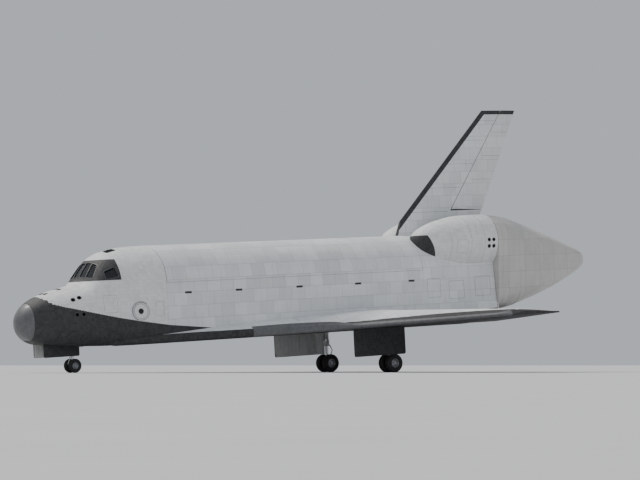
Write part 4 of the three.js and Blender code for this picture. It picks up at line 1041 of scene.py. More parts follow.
bay_end_x = BAY_AFT_X - BAY_WALL
middle_x, middle_walls = seam_stations(CABIN_AFT_X + GAP, BAY_AFT_X - GAP, (650, 723, 869, 1015, 1161, 1250),
                                       0.3, 0.4, 40)
middle = meet(loft(body_rings(middle_x, middle_walls), MIDDLE), [slab(570, 1310, 200, 200, SILL_Z, RIB)])
bay_outline = [(-70, 306), (70, 306), (95, 350), (95, 520), (-95, 520), (-95, 350)]
vents = twins([block(x - 9, x + 9, 104.1, 105.9, 387, 392) for x in VENT_X])
middle = cut(middle, [prism("x", bay_outline, BAY_FRONT_X, bay_end_x, LINER), *vents])
rib_outline = ((71.5, 306.2), (95.1, 348), (95.1, 403), (93.5, 403), (93.5, 350.5), (70.5, 309))
bay_parts = [block(x - 8.8, x + 8.8, 104.25, 104.75, z - 0.25, z + 0.25, TRIM)
             for x in VENT_X for z in (388.3, 389.5, 390.7)]
for x in np.arange(BAY_FRONT_X + 14, bay_end_x - 4, 55.6):
    bay_parts += [prism("x", rib_outline, x, x + 1.6, RIB),
                  block(x + 24, x + 30, 91.4, 94.6, 398, 404.5, STEEL, 0.4),
                  bar((x + 22, 92.5, 409), (x + 32, 92.5, 409), 1.1, STEEL, sides=16)]
bay_parts.append(block(584, 1295, 92.8, 95.2, 403.5, 412.5, RIB, 0.3))
bay_parts += [bar((586, 88, z), (1293, 88, z), 1.2, STEEL, sides=16) for z in (362, 367)]
bay_parts += [block(x - 0.9, x + 0.9, y - 0.8, y + 0.8, 318, 408, RIB)
              for x in (582.6, 1296.4) for y in (52, 78)]
air_lock = [
    tube((581.5, 0, 352), (585, 0, 352), 23, 18, RIB, 64),
    bar((581.5, 0, 352), (583.6, 0, 352), 18, LINER, sides=64),
    tube((583.4, 0, 352), (584.2, 0, 352), 6, 4.8, STEEL, 48),
    block(583.4, 584.4, -14, 14, 351, 353, STEEL, 0.2),
]
piece("mid_fuselage", [middle, *twins(bay_parts), *air_lock])

# Payload bay doors with their seams and the radiators inside

DOOR_SEAMS = (723, 869, 1015, 1161)
DOOR_X = (CABIN_AFT_X + 1.5, BAY_AFT_X - 1)
door_x, door_walls = seam_stations(*DOOR_X, DOOR_SEAMS, 0.4, 0.5, 30)
door = meet(loft(body_rings(door_x, door_walls), DOOR),
            [block(*DOOR_X, MOVING_GAP / 2, 200, SILL_Z + MOVING_GAP, 600, RIB)])
door_parts = [cut(door, [body_loft(DOOR_X[0] - 4, DOOR_X[1] + 4, DOOR_WALL, LINER)])]
for x0, x1 in zip((DOOR_X[0], *DOOR_SEAMS), (*DOOR_SEAMS, DOOR_X[1])):
    panel = body_shell(x0 + 3, x1 - 3, DOOR_WALL - 0.05, DOOR_WALL + 0.9, RADIATOR)
    door_parts.append(meet(panel, [block(x0, x1, 7, 200, 430, 600, RIB)]))
door_parts += [block(x, x + 6, 97.6, 100.2, 417, 424, STEEL, 0.4) for x in np.arange(600, 1290, 57)]
door_parts += [bar((x, 1.2, 495.8), (x + 7, 1.2, 495.8), 0.8, STEEL, sides=16)
               for x in np.arange(620, 1290, 57)]
pair("payload_bay_door_{}", door_parts, "bay_door_{}")

# Fin outline, needed by the pods as well


def along_fin(ends, z):
    """Value at height z on a line between the fin's root and tip."""
    return ends[0] + (z - FIN_ROOT_Z) / (FIN_TIP_Z - FIN_ROOT_Z) * (ends[1] - ends[0])


def fin_rings(heights, grow=0.0):
    along = np.linspace(0, 1, 40) ** 1.6
    thick = pchip(np.sqrt(FIN_PROFILE[:, 0]), FIN_PROFILE[:, 1], np.sqrt(along))
    rings = []
    for z in heights:
        lead, trail = along_fin(FIN_LEAD_X, z) - grow, along_fin(FIN_TRAIL_X, z) + grow
        half = thick * (along_fin(FIN_HALF, z) + grow)
        side = np.column_stack([lead + along * (trail - lead), half, np.full(len(along), z)])
        rings.append(np.concatenate([side, side[::-1] * (1, -1, 1)]))
    return np.array(rings)


# Aft fuselage: hollow towards the tail cone, with umbilical wells in its floor

aft_x, aft_walls = seam_stations(BAY_AFT_X, BODY_AFT_X, (1365, 1440), 0.3, 0.4, 30)
aft_void = meet(body_loft(1322, BODY_AFT_X + 0.01, AFT_WALL, LINER), [slab(1322, 1600, 200, 200, 600, LINER)])
aft_void = cut(aft_void, [slab(1318, 1374, 110, 270, 304, LINER)])
wells = [block(UMBILICAL["x0"], UMBILICAL["x1"], side * 75 - 25, side * 75 + 25, 260, UMBILICAL["z"], WELL)
         for side in SIDES]
aft_panels = panel_seams(body_shell(BAY_AFT_X, BODY_AFT_X, -1, 0.35), "y", -150, 150, 0.5, 4,
                         ((1318, 1356, 346, 392), (1380, 1424, 340, 384), (1456, 1500, 344, 392)))
aft = cut(loft(body_rings(aft_x, aft_walls), MIDDLE), [aft_void, *wells, *aft_panels])
aft_frames = [cut(body_loft(x, x + 2, AFT_WALL - 0.1, RIB, count=3),
                  [body_loft(x - 1, x + 3, AFT_WALL + 4, RIB, count=3)]) for x in (1400, 1450, 1500)]
aft_face = [block(1304.9, 1307.2, y - 0.9, y + 0.9, 420, crown_z(1307, y) - 8, RIB)
            for y in (-70, -35, 0, 35, 70)]
piece("aft_fuselage", [aft, *aft_frames, *aft_face])
cover = block(UMBILICAL["x0"] + 0.5, UMBILICAL["x1"] - 0.5, 50.5, 99.5, BELLY_Z, BELLY_Z + UMBILICAL["door"],
              BLACK, 0.3)
stiffeners = [block(x, x + 1.5, 55, 95, BELLY_Z + 2.9, BELLY_Z + 4.4, RIB, 0.2) for x in (1322, 1336, 1350)]
pair("umbilical_door_{}", [cover, *stiffeners], "umbilical_cover_{}")
fitting = block(1318, 1332, 85, 99, 282, UMBILICAL["z"] - GAP, STEEL, 0.4)
fitting_bolts = [bar((x, y, 288), (x + 0.9 * way, y, 288), 1.0, HUB, sides=6)
                 for x, way in ((1317.9, -1), (1332.1, 1)) for y in (88, 96)]
pair("attach_fitting_aft_{}", [fitting, *fitting_bolts])
forward_fitting = turned((401, 0, 277.0), (401, 0, 279.4), [(0, 5.4), (0.25, 6), (1, 6)], STEEL, 48)
piece("attach_fitting_forward", [cut(forward_fitting, [body_loft(380, 420, -GAP)])])

# Engine pods beside the fin

pod_x = POD_SECTIONS[0, 0] + (np.linspace(0.02, 1, 46) * pod_key(BODY_AFT_X)) ** 2
pod_angle = np.linspace(0, 2 * math.pi, 72, endpoint=False)


def pod_loft(wall, x0, x1, material=SEAM):
    rings = [np.column_stack([np.full(len(pod_angle), x), y + max(wide - wall, 0.2) * np.cos(pod_angle),
                              z + max(high - wall, 0.2) * np.sin(pod_angle)])
             for x, (y, z, wide, high) in zip(pod_x, columns_at(POD_SECTIONS, pod_x, pod_key))
             if x0 <= x <= x1]
    return loft(rings, material)


pod_rim_shell = cut(pod_loft(-0.3, 1440, 1520, TRIM), [pod_loft(1.2, 1420, 1530, TRIM)])
pod_seam_shell = cut(pod_loft(-1, 1330, 1520), [pod_loft(0.35, 1320, 1530)])
ports = []
for z, x in ((466, 1488), (466, 1502), (482, 1488), (482, 1502)):
    y, centre_z, wide, high = columns_at(POD_SECTIONS, np.array([float(x)]), pod_key)[0]
    ports.append(((x, y + wide * math.sqrt(1 - ((z - centre_z) / high) ** 2), z), (0, 1, 0.1), 3.6))
tools, rims = thrusters(ports, pod_rim_shell)
pod_lines = [meet(block(x - 0.2, x + 0.2, -20, 220, 380, 580), [copy(pod_seam_shell)])
             for x in (1384, 1436, 1476)]
pod_door = panel_seams(pod_seam_shell, "y", 90, 180, 0.4, 3, ((1398, 1426, 452, 484),))
grown_fin = loft(fin_rings((470, 560, 650, 740, FIN_TIP_Z + GAP), GAP), SEAM)
pod = cut(pod_loft(0, 1300, 1520, POD), [body_loft(1290, BODY_AFT_X + 5, -GAP), grown_fin, *tools, *pod_lines,
                                         *pod_door])
pair("engine_pod_{}", [pod, *rims])

# Tail cone: rings of panels over the engines, closed above the body; below, its plate is black


def aft_plate(wall, material, x0=CLOSURE_X[0], x1=CLOSURE_X[1]):
    return prism("x", body_rings([BODY_AFT_X], wall)[0][:, 1:], x0, x1, material)


smooth_cone = CONE_END_X - (1 - np.linspace(0, 1, 70)) ** 2 * (CONE_END_X - CONE_FRONT_X)
rows = [(x, 0.0) for x in smooth_cone[1:] if min(abs(x - s) for s in CONE_SEAMS) > 1.2]
rows += [(CONE_FRONT_X, 0.4), (CONE_FRONT_X + 0.5, 0.0)]
for s in CONE_SEAMS:
    rows += [(s - 0.5, 0), (s - 0.3, 0.35), (s + 0.3, 0.35), (s + 0.5, 0)]
cone_rings = cone_ring_at(*np.array(sorted(rows)).T)
inner_x = np.linspace(1500, CONE_END_X - 60, 40)
inner_rings = cone_ring_at(np.maximum(inner_x, CONE_FRONT_X), CONE_WALL)
inner_rings[:, :, 0] = inner_x[:, None]
cone = cut(loft(cone_rings, CONE), [loft(inner_rings, LINER)])
closure = meet(loft(cone_rings[:12], CONE), [slab(*CLOSURE_X, 700, 100, 900, CONE)])
closure = add(closure, [aft_plate(0.2, CONE)])
closure_inside = (CLOSURE_X[0] - 1, CLOSURE_X[1] + 1)
closure = cut(closure, [aft_plate(AFT_WALL, LINER, *closure_inside),
                        slab(1500, 1530, 200, 200, CLOSURE_BLACK_Z, BLACK)])
skirt = meet(aft_plate(0.2, BLACK), [slab(1500, 1530, 200, 200, CLOSURE_BLACK_Z - GAP, BLACK)])
skirt = cut(skirt, [aft_plate(AFT_WALL, LINER, *closure_inside)])
straps = [cut(loft(cone_ring_at((x, x + 0.2, x + 2.8, x + 3.0), (0.2, -0.5, -0.5, 0.2)), CONE),
              [loft(cone_ring_at((x - 1, x + 4.0), 0.2), CONE)]) for x in (1530, 1590)]
piece("tail_cone", [add(cone, [closure]), skirt, *straps])
frame["nodes"]["main_engine_block"].data.materials.clear()
frame["nodes"]["main_engine_block"].data.materials.append(ENGINE)


# Wing surfaces


def wing_base_z(y):
    return BELLY_Z + max(y - BODY_HALF, 0) * math.tan(DIHEDRAL)


def wing_section(y):
    """Leading edge, nose height, thickest station and height, trailing edge at a span station."""
    spans = WING_SECTIONS[:, 0]
    lead, nose = (float(pchip(spans, WING_SECTIONS[:, c], y)) for c in (1, 2))
    thick_x, thick, trail = (float(np.interp(y, spans, WING_SECTIONS[:, c])) for c in (3, 4, 5))
    return lead, nose, thick_x, thick, trail


def wing_rise(section, x):
    """Height of the upper surface over the lower one, behind the nose radius."""
    lead, nose, thick_x, thick, trail = section
    nose_end = lead + 2 * nose
    if x < thick_x:
        return nose + (thick - nose) * math.sin((x - nose_end) / (thick_x - nose_end) * math.pi / 2)
    t = (x - thick_x) / (trail - thick_x)
    return 1.2 + (thick - 1.2) * (1 - t) * (1 + 0.45 * t)


def wing_top_z(x, y):
    return wing_base_z(y) + wing_rise(wing_section(y), x)


def wing_ring(y):
    section = wing_section(y)
    lead, nose, thick_x, thick, trail = section
    base = wing_base_z(y)
    edge_z = base + 0.4 * nose
    quarter = np.linspace(0, math.pi / 2, 9)[1:]
    points = [(trail, base), (ELEVON_HINGE_X, base), (lead + nose, base)]
    points += [(lead + nose * (1 - math.sin(a)), edge_z - 0.4 * nose * math.cos(a)) for a in quarter]
    points += [(lead + 2 * nose * (1 - math.cos(a)), edge_z + 0.6 * nose * math.sin(a)) for a in quarter]
    points += [(x, base + wing_rise(section, x)) for x in np.linspace(lead + 2 * nose, thick_x, 15)[1:]]
    points += [(x, base + wing_rise(section, x)) for x in np.linspace(thick_x, trail, 19)[1:]]
    return np.array([(x, y, z) for x, z in points])


def wing_loft(material):
    spans = {*np.linspace(80, 210, 40), *np.linspace(215, 460, 36), *WING_SECTIONS[:, 0], 463, 465.5, 467}
    rings = [wing_ring(y) for y in sorted(spans)]
    tip = rings[-1].copy()
    middle = tip.mean(0)
    tip[:, 2] = middle[2] + (tip[:, 2] - middle[2]) * 0.45
    tip[:, 0] = middle[0] + (tip[:, 0] - middle[0]) * 0.985
    tip[:, 1] = TIP_CAP_Y
    return loft(rings + [tip], material)


def wing_block(x0, x1, y0, y1, material):
    """Box that is taller than the wing."""
    return block(x0, x1, y0, y1, *WING_ROOM_Z, material)


def edge_line(count=120):
    """Points on the leading edge in plan, the directions along it and outwards."""
    spans = np.linspace(EDGE_START_Y, TIP_Y, count)
    points = np.array([(wing_section(y)[0], y) for y in spans])
    along = np.gradient(points, axis=0)
    along /= np.linalg.norm(along, axis=1)[:, None]
    return points, along, np.column_stack([-along[:, 1], along[:, 0]])


def edge_region(gap):
    """Strip in plan that the carbon panels fill."""
    points, along, out = edge_line()
    points[0] -= along[0] * gap
    points[-1] += along[-1] * (gap + 1)
    outline = np.concatenate([points + out * 30, (points - out * (EDGE_DEPTH + gap))[::-1]])
    return prism("z", outline, *WING_ROOM_Z, CARBON)


def elevon_hinge(y):
    """Hinge point halfway up the wing, and the radius there."""
    rise = wing_rise(wing_section(y), ELEVON_HINGE_X)
    return np.array([ELEVON_HINGE_X, y, wing_base_z(y) + rise / 2]), rise / 2


def elevon_room(y0, y1):
    """Tools that cut room for an elevon's nose and ends, and for its skins as they turn past the lips."""
    ends = [(hinge + (0, shift, 0), radius) for (hinge, radius), shift in
            ((elevon_hinge(y0), -END_ROOM), (elevon_hinge(y1), END_ROOM))]
    rings = [[(x, y, z), (x - radius * TOP_LIP, y, z + radius * LIP_DEPTH), (x - radius * TOP_LIP, y, HIGH_Z),
              (ELEVON_AFT_X, y, HIGH_Z), (ELEVON_AFT_X, y, LOW_Z), (x - radius * BASE_LIP, y, LOW_Z),
              (x - radius * BASE_LIP, y, z - radius * LIP_DEPTH)] for (x, y, z), radius in ends]
    (inner, inner_radius), (outer, outer_radius) = ends
    nose = bar(inner, outer, inner_radius + NOSE_ROOM, HUB, outer_radius + NOSE_ROOM, 64)
    return [nose, loft(rings, HUB)]


def surface_path(start, end, step=6.0):
    """Points on the wing's top along a line in plan."""
    count = max(int(math.dist(start, end) / step), 2) + 1
    return [(x, y, wing_top_z(x, y)) for x, y in np.linspace(start, end, count)]


# Carbon leading edge: a row of panels with grooves between them

body_room = body_loft(400, BODY_AFT_X, -GAP, count=140)
carbon = cut(meet(wing_loft(CARBON), [edge_region(0)]), [copy(body_room)])
joints = []
for point, along, out in list(zip(*edge_line(23)))[1:-1]:
    corners = [point + out * reach + along * shift
               for reach, shift in ((31, -0.2), (31, 0.2), (-11, 0.2), (-11, -0.2))]
    joints.append(prism("z", corners, *WING_ROOM_Z))
pair("leading_edge_{}", [cut(carbon, joints)])

# Wing with its wheel well, elevon coves and the seams of its top

well = MAIN_WELL
cuts = [
    copy(body_room),
    edge_region(GAP),
    block(well["x0"], well["x1"], well["y0"], well["y1"], 250, well["z"], WELL),
    wing_block(ELEVON_HINGE_X, ELEVON_AFT_X, 70, ELEVON_SPANS[0][3], RIB),
    *(tool for name, short, y0, y1 in ELEVON_SPANS for tool in elevon_room(y0, y1)),
]
top_lines = [((1352, 136), (1352, 450)), ((1120, 112), (1120, 214)), ((1250, 112), (1250, 336)),
             ((905, 112), (905, 154)), ((1000, 112), (1000, 176))]
top_lines += [((1352.4, y), (1378, y)) for y in np.linspace(140, 446, 11)]
wing_parts = [cut(wing_loft(WING), cuts + [trench(surface_path(*line), (0, 0, 1)) for line in top_lines])]
wing_parts += [block(x, x + 1.4, y - 1.1, y + 1.1, wing_base_z(well["y0"]) + 1.5, well["z"] - 0.2, RIB)
               for x in np.arange(1052, 1190, 19) for y in (well["y0"] + 0.9, well["y1"] - 0.9)]
wing_parts += [bar((1042, y, z), (1150, y, z), 0.9, STEEL, sides=12)
               for y, z in ((114, 311), (117, 314), (166, 312))]
for y in np.linspace(150, 440, 12):
    top = wing_top_z(1376, y)
    wing_parts.append(block(1375.6, 1377, y - 2, y + 2, top - 0.4, top + 0.35, RIB, 0.15))
pair("wing_{}", wing_parts)

# Elevons

for name, short, y0, y1 in ELEVON_SPANS:
    (inner, inner_radius), (outer, outer_radius) = elevon_hinge(y0), elevon_hinge(y1)
    elevon = meet(wing_loft(CONTROL), [wing_block(ELEVON_HINGE_X, ELEVON_AFT_X, y0, y1, BLACK)])
    elevon = add(elevon, [bar(inner, outer, inner_radius - 0.05, CARBON, outer_radius - 0.05, 64)])
    elevon = meet(elevon, [wing_block(1300, ELEVON_AFT_X, y0 + 0.05, y1 - 0.05, BLACK)])
    lines = []
    for y in np.linspace(y0, y1, 5)[1:-1]:
        stations = np.linspace(1400, wing_section(y)[4] + 2, 12)
        lines.append(trench([(x, y, wing_top_z(x, y)) for x in stations], (0, 0, 1)))
    pair(f"elevon_{name}_{{}}", [cut(elevon, lines)], f"elevon_{short}_{{}}")

# Body flap

hinge_x, hinge_z = FLAP_HINGE
outline = [(hinge_x + 10 * math.cos(a), hinge_z + 10 * math.sin(a))
           for a in np.linspace(math.pi / 2, 3 * math.pi / 2, 25)]
outline += [(1612, hinge_z - 3.1), (1613, hinge_z - 2.7), (1613, hinge_z - 1.3), (1612, hinge_z - 0.9)]
lines = []
for y in (-80, -40, 0, 40, 80):
    for up, taper in ((1, 10.9), (-1, 6.9)):
        line = [(x, y, hinge_z + up * (10 - taper * (x - hinge_x) / 80))
                for x in np.linspace(hinge_x + 4, 1611, 8)]
        lines.append(trench(line, (0, 0, up), 0.35))
clamps = [cut(bar((hinge_x, y - 3, hinge_z), (hinge_x, y + 3, hinge_z), 10.25, CARBON, sides=64),
              [block(hinge_x, 1560, y - 5, y + 5, 260, 320, CARBON)]) for y in range(-100, 101, 40)]
piece("body_flap", [cut(prism("y", outline, -120, 120, BLACK), lines), *clamps], "flap")

# Fin and rudder


def rudder_x(z):
    return along_fin(RUDDER_HINGE_X, z)


def hinge_cone(factor, grow, material):
    """Cone about the rudder's hinge line."""
    low, high = (((rudder_x(z), 0, z), along_fin(FIN_HALF, z) * factor + grow) for z in HINGE_LINE_Z)
    return bar(low[0], high[0], low[1], material, high[1], 96)


def behind_hinge(material):
    """Wedge behind the hinge line, with its front faces leaning forwards."""
    reach, lean = RUDDER_REACH, PANEL_LEAN * RUDDER_REACH
    rings = [[(rudder_x(z), 0, z), (rudder_x(z) - lean, reach, z), (RUDDER_AFT_X, reach, z),
              (RUDDER_AFT_X, -reach, z), (rudder_x(z) - lean, -reach, z)] for z in HINGE_LINE_Z]
    return loft(rings, material)


def rudder_slab(half, low_z, material):
    return slab(RUDDER_FRONT_X, RUDDER_AFT_X, half, low_z, HIGH_Z, material)


def rounded_fin():
    heights = [470, 540, 600, 660, 720, 780, FIN_TIP_Z - 0.8]
    return loft([*fin_rings(heights), *fin_rings([FIN_TIP_Z], -0.6)], FIN)


def fin_side(z, x0, x1):
    """Points on the starboard side of the fin at a height, between two stations."""
    ring = fin_rings([z])[0]
    side = ring[:len(ring) // 2]
    return side[(side[:, 0] > x0) & (side[:, 0] < x1)]


# The cove is cut with the dark window-frame finish, so the faces it leaves in the fin are painted shade: a
# dark gap instead of the light grey-green inside
shadow_dark_cove = meet(add(hinge_cone(PANEL_NOSE_FACTOR, MOVING_GAP, TRIM), [behind_hinge(TRIM)]),
            [rudder_slab(RUDDER_REACH, RUDDER_BASE_Z - 2 * MOVING_GAP, TRIM)])
foot_outline = [(NOSE_TIP_X, LOW_Z), (FIN_FOOT_FRONT[0][0], LOW_Z), *FIN_FOOT_FRONT,
                (NOSE_TIP_X, FIN_FOOT_FRONT[1][1])]
cuts = [shadow_dark_cove, copy(body_room), prism("y", foot_outline, -RUDDER_REACH, RUDDER_REACH, BLACK),
        slab(BODY_AFT_X, 1620, 30, 400, 549.03)]
for z in (560, 620, 680, 740, 790):
    line = fin_side(z, along_fin(FIN_LEAD_X, z) + 8, rudder_x(z) - 12)
    cuts += [trench(line * (1, side, 1), (0, side, 0), 0.3) for side in SIDES]
piece("vertical_fin", [cut(rounded_fin(), cuts)])

risen_z = RUDDER_BASE_Z + BASE_RISE * RUDDER_REACH
rudder_outline = [(0, RUDDER_BASE_Z), (RUDDER_REACH, risen_z), (RUDDER_REACH, HIGH_Z),
                  (-RUDDER_REACH, HIGH_Z), (-RUDDER_REACH, risen_z)]
rudder = meet(rounded_fin(), [prism("x", rudder_outline, RUDDER_FRONT_X, RUDDER_AFT_X, RIB)])
blade = meet(behind_hinge(RIB), [rudder_slab(BLADE_HALF, HINGE_LINE_Z[0], RIB)])
spine = add(hinge_cone(SPINE_FACTOR, 0, HUB), [blade])
piece("rudder_spine", [meet(spine, [copy(rudder)])], "rudder_core")

aft_outline = [(rudder_x(HINGE_LINE_Z[0]), HINGE_LINE_Z[0]), (RUDDER_AFT_X, HINGE_LINE_Z[0]),
               (RUDDER_AFT_X, HINGE_LINE_Z[1]), (rudder_x(HINGE_LINE_Z[1]), HINGE_LINE_Z[1])]
aft_of_hinge = prism("y", aft_outline, -RUDDER_REACH, RUDDER_REACH, RIB)
panel_region = meet(behind_hinge(RIB), [add(hinge_cone(PANEL_NOSE_FACTOR, 0, RIB), [aft_of_hinge])])
panel = cut(meet(rudder, [panel_region]), [hinge_cone(SPINE_FACTOR, MOVING_GAP, RIB)])
panel = meet(panel, [block(RUDDER_FRONT_X, RUDDER_AFT_X, BLADE_HALF + MOVING_GAP, RUDDER_REACH, 400, HIGH_Z,
                           RIB)])
lines = []
for z in (640, 700, 760):
    line = fin_side(z, rudder_x(z) + 1, RUDDER_AFT_X)
    lines.append(trench([*line, line[-1] + (2, 0, 0)], (0, 1, 0), 0.3))
pair("rudder_panel_{}", [cut(panel, lines)], "brake_panel_{}")


# Landing gear


def wheel_centre_z(x, radius):
    return ground_z(x) + radius / math.cos(PITCH)


def spun(x, y, z, outline, material, sides=96):
    """Ring-shaped solid round a wheel's axis; outline rows are offset along the axis, radius."""
    outline = np.array(outline, float)
    angle = np.linspace(0, 2 * math.pi, sides, endpoint=False)
    points = np.zeros((sides, len(outline), 3))
    points[..., 0] = x + np.cos(angle)[:, None] * outline[:, 1]
    points[..., 1] = y + outline[:, 0]
    points[..., 2] = z + np.sin(angle)[:, None] * outline[:, 1]
    return loft(points, material, around=True)


def tyre_outline(radius, width, bore):
    """Tyre section with a rounded shoulder and grooves in the tread."""
    share = np.array([0, 1, 2, 3, 4, 5.0])
    offsets = np.array([0.36, 0.44, 0.5, 0.47, 0.40, 0.29]) * width
    radii = np.array([bore, radius * 0.6, radius * 0.74, radius * 0.87, radius * 0.95, radius * 0.992])
    fine = np.linspace(0, 5, 26)
    shoulder = np.column_stack([pchip(share, offsets, fine), pchip(share, radii, fine)])
    tread = [(groove * width + shift, radius - depth) for groove in (0.16, 0.055, -0.055, -0.16)
             for shift, depth in ((0.34, 0), (0.22, 0.4), (-0.22, 0.4), (-0.34, 0))]
    edge = 0.24 * width
    port = shoulder[::-1] * (-1, 1)
    return [*shoulder.tolist(), (edge, radius), *tread, (-edge, radius), *port.tolist()]


# Starboard half of a wheel's section: share of the tyre's width, share of the wheel's radius
WHEEL_PROFILE = ((0.36, 1), (0.36, 0.92), (0.30, 0.84), (0.16, 0.72), (0.18, 0.44), (0.30, 0.34))
WHEEL_HOLES = 9


def circle_points(x, z, radius, angles):
    return [(x + math.cos(a) * radius, z + math.sin(a) * radius) for a in angles]


def wheel_set(hubs, x, y, size, body, tyres, bolts, half_axle):
    """Two tyres and the wheels on one axle."""
    z = wheel_centre_z(x, size["radius"])
    width, hub = size["width"], size["hub"]
    outer = hub - GAP
    ring = tyre_outline(size["radius"], width, hub)
    disc = [(-0.30 * width, 0.02), *((-share * width, outer * r) for share, r in reversed(WHEEL_PROFILE))]
    disc += [*((share * width, outer * r) for share, r in WHEEL_PROFILE), (0.30 * width, 0.02)]
    hole_angles = np.arange(WHEEL_HOLES) * 2 * math.pi / WHEEL_HOLES
    bolt_angles = (np.arange(bolts) + 0.5) * 2 * math.pi / bolts
    parts = []
    for side, tyre in zip(SIDES, tyres):
        centre = y + side * size["offset"]
        beads = [spun(x, centre, z, [(s * width * 0.375, hub + 0.4), (s * width * 0.40, hub + 1.4),
                                     (s * width * 0.36, hub + 1.4)], RUBBER) for s in SIDES]
        piece(tyre, [spun(x, centre, z, ring, RUBBER, 128), *beads], body)
        section = [((offset + 10) / 20, radius) for offset, radius in disc]
        wheel = turned((x, centre - 10, z), (x, centre + 10, z), section, HUB, 72)
        holes = [bar((cx, centre - 9, cz), (cx, centre + 9, cz), outer * 0.085, sides=20)
                 for cx, cz in circle_points(x, z, outer * 0.58, hole_angles)]
        parts.append(cut(wheel, holes))
        near, far = centre + side * 0.2 * width, centre + side * 0.31 * width
        parts += [bar((cx, near, cz), (cx, far, cz), outer * 0.035, STEEL, sides=6)
                  for cx, cz in circle_points(x, z, outer * 0.39, bolt_angles)]
        cap = centre + side * 0.3 * width
        parts.append(turned((x, cap, z), (x, cap + side * 1.3, z),
                            [(0, outer * 0.22), (0.7, outer * 0.2), (1, outer * 0.1)], STEEL, 32))
    parts.append(bar((x, y - size["offset"] + 2, z), (x, y + size["offset"] - 2, z), half_axle, STEEL))
    piece(hubs, parts, body)


def link_plate(x, y, z0, z1, reach, wide, narrow, thick):
    """One arm of a torque link: a plate that narrows away from the leg, with its pivots."""
    x1, lift = x + reach, thick / 2
    rows = ((x, z0, wide), ((x + x1) / 2, (z0 + z1) / 2, (wide + narrow) / 2.2), (x1, z1, narrow))
    rings = [[(px, y - w, pz - lift), (px, y + w, pz - lift), (px, y + w, pz + lift), (px, y - w, pz + lift)]
             for px, pz, w in rows]
    return [loft(rings, WHITE),
            bar((x, y - wide - 0.4, z0), (x, y + wide + 0.4, z0), thick * 0.62, STEEL, sides=24),
            bar((x1, y - narrow - 0.3, z1), (x1, y + narrow + 0.3, z1), thick * 0.55, STEEL, sides=24)]


def door_panel(x0, x1, z0, z1, radius, y0, y1, material):
    return prism("y", rectangle(x0, x1, z0, z1, radius), y0, y1, material)


# Main legs: trunnion, cylinder, piston, torque link, drag brace, brakes and pipes

x, y = MAIN_GEAR_X, MAIN_GEAR_Y
axle_z = wheel_centre_z(x, MAIN_TYRE["radius"])
top_z = MAIN_WELL["z"] - GAP
BRAKE = ((0, 5.2), (0.08, 7.6), (0.3, 7.6), (0.32, 7.1), (0.42, 7.1), (0.44, 7.6), (0.92, 7.6), (1, 7.0))
on_axle = [
    turned((x, y, 238), (x, y, axle_z + 2), [(0, 4.2), (1, 4.2)], STEEL, 48),
    turned((x, y - 4.1, axle_z), (x, y + 4.1, axle_z), [(0, 4.6), (0.1, 5), (0.9, 5), (1, 4.6)], WHITE, 48),
    turned((x, y, axle_z + 8), (x, y, axle_z), [(0, 4.5), (0.4, 5.0), (1, 5.0)], WHITE, 48),
    *(turned((x, y + side * 4.4, axle_z), (x, y + side * 7.5, axle_z), BRAKE, THRUSTER, 48)
      for side in SIDES),
]
leg = [cut(part, [bar((x, y - 9, axle_z), (x, y + 9, axle_z), 2.9, sides=48)]) for part in on_axle]
leg += [
    turned((x, y, top_z), (x, y, 236),
           [(0, 6.5), (0.16, 6.5), (0.18, 5.9), (0.80, 5.9), (0.82, 6.8), (0.97, 6.8), (1, 6.2)], WHITE, 48),
    turned((x, MAIN_WELL["y0"] + 1, 303), (x, MAIN_WELL["y1"] - 1, 303),
           [(0, 3.2), (0.04, 4), (0.3, 4), (0.4, 6), (0.6, 6), (0.7, 4), (0.96, 4), (1, 3.2)], WHITE, 48),
    turned((1090, y, top_z - 4), (1131, y, (top_z + 246) / 2),
           [(0, 2.6), (0.05, 3.0), (0.94, 3.0), (1, 2.2)], WHITE, 32),
    turned((1127, y, (top_z + 250) / 2 - 0.5), (x - 2, y, 250),
           [(0, 2.2), (0.06, 2.9), (0.95, 2.9), (1, 2.4)], WHITE, 32),
    bar((1129, y - 4.2, (top_z + 248) / 2), (1129, y + 4.2, (top_z + 248) / 2), 2.2, STEEL, sides=24),
    bar((1090, y - 10, top_z - 4), (1090, y + 10, top_z - 4), 2.4, STEEL, sides=24),
    bar((x - 4, y - 5.5, 251), (x - 4, y + 5.5, 251), 2.4, STEEL, sides=24),
    *link_plate(x + 5.5, y, 244, 226, 11, 3.2, 1.4, 1.7),
    *link_plate(x + 4.5, y, axle_z + 7.5, 224, 12, 3.2, 1.4, 1.7),
    *(turned((x, y, z), (x, y, z - 1.6), [(0, 6.1), (0.2, 6.9), (0.8, 6.9), (1, 6.1)], STEEL, 40)
      for z in (288, 270)),
]
for side in SIDES:
    leg += [bar((x - 5, y + side * 4.2, 240), (x - 3.8, y + side * 4.6, axle_z + 6), 0.45, RUBBER, sides=12),
            bar((x + 6.4, y + side * 3.4, top_z - 6), (x + 6.4, y + side * 3.4, 244), 0.5, STEEL, sides=12)]
pair("main_gear_leg_{}", leg)

# Main doors: an outer skin with tiles, and a frame of ribs inside

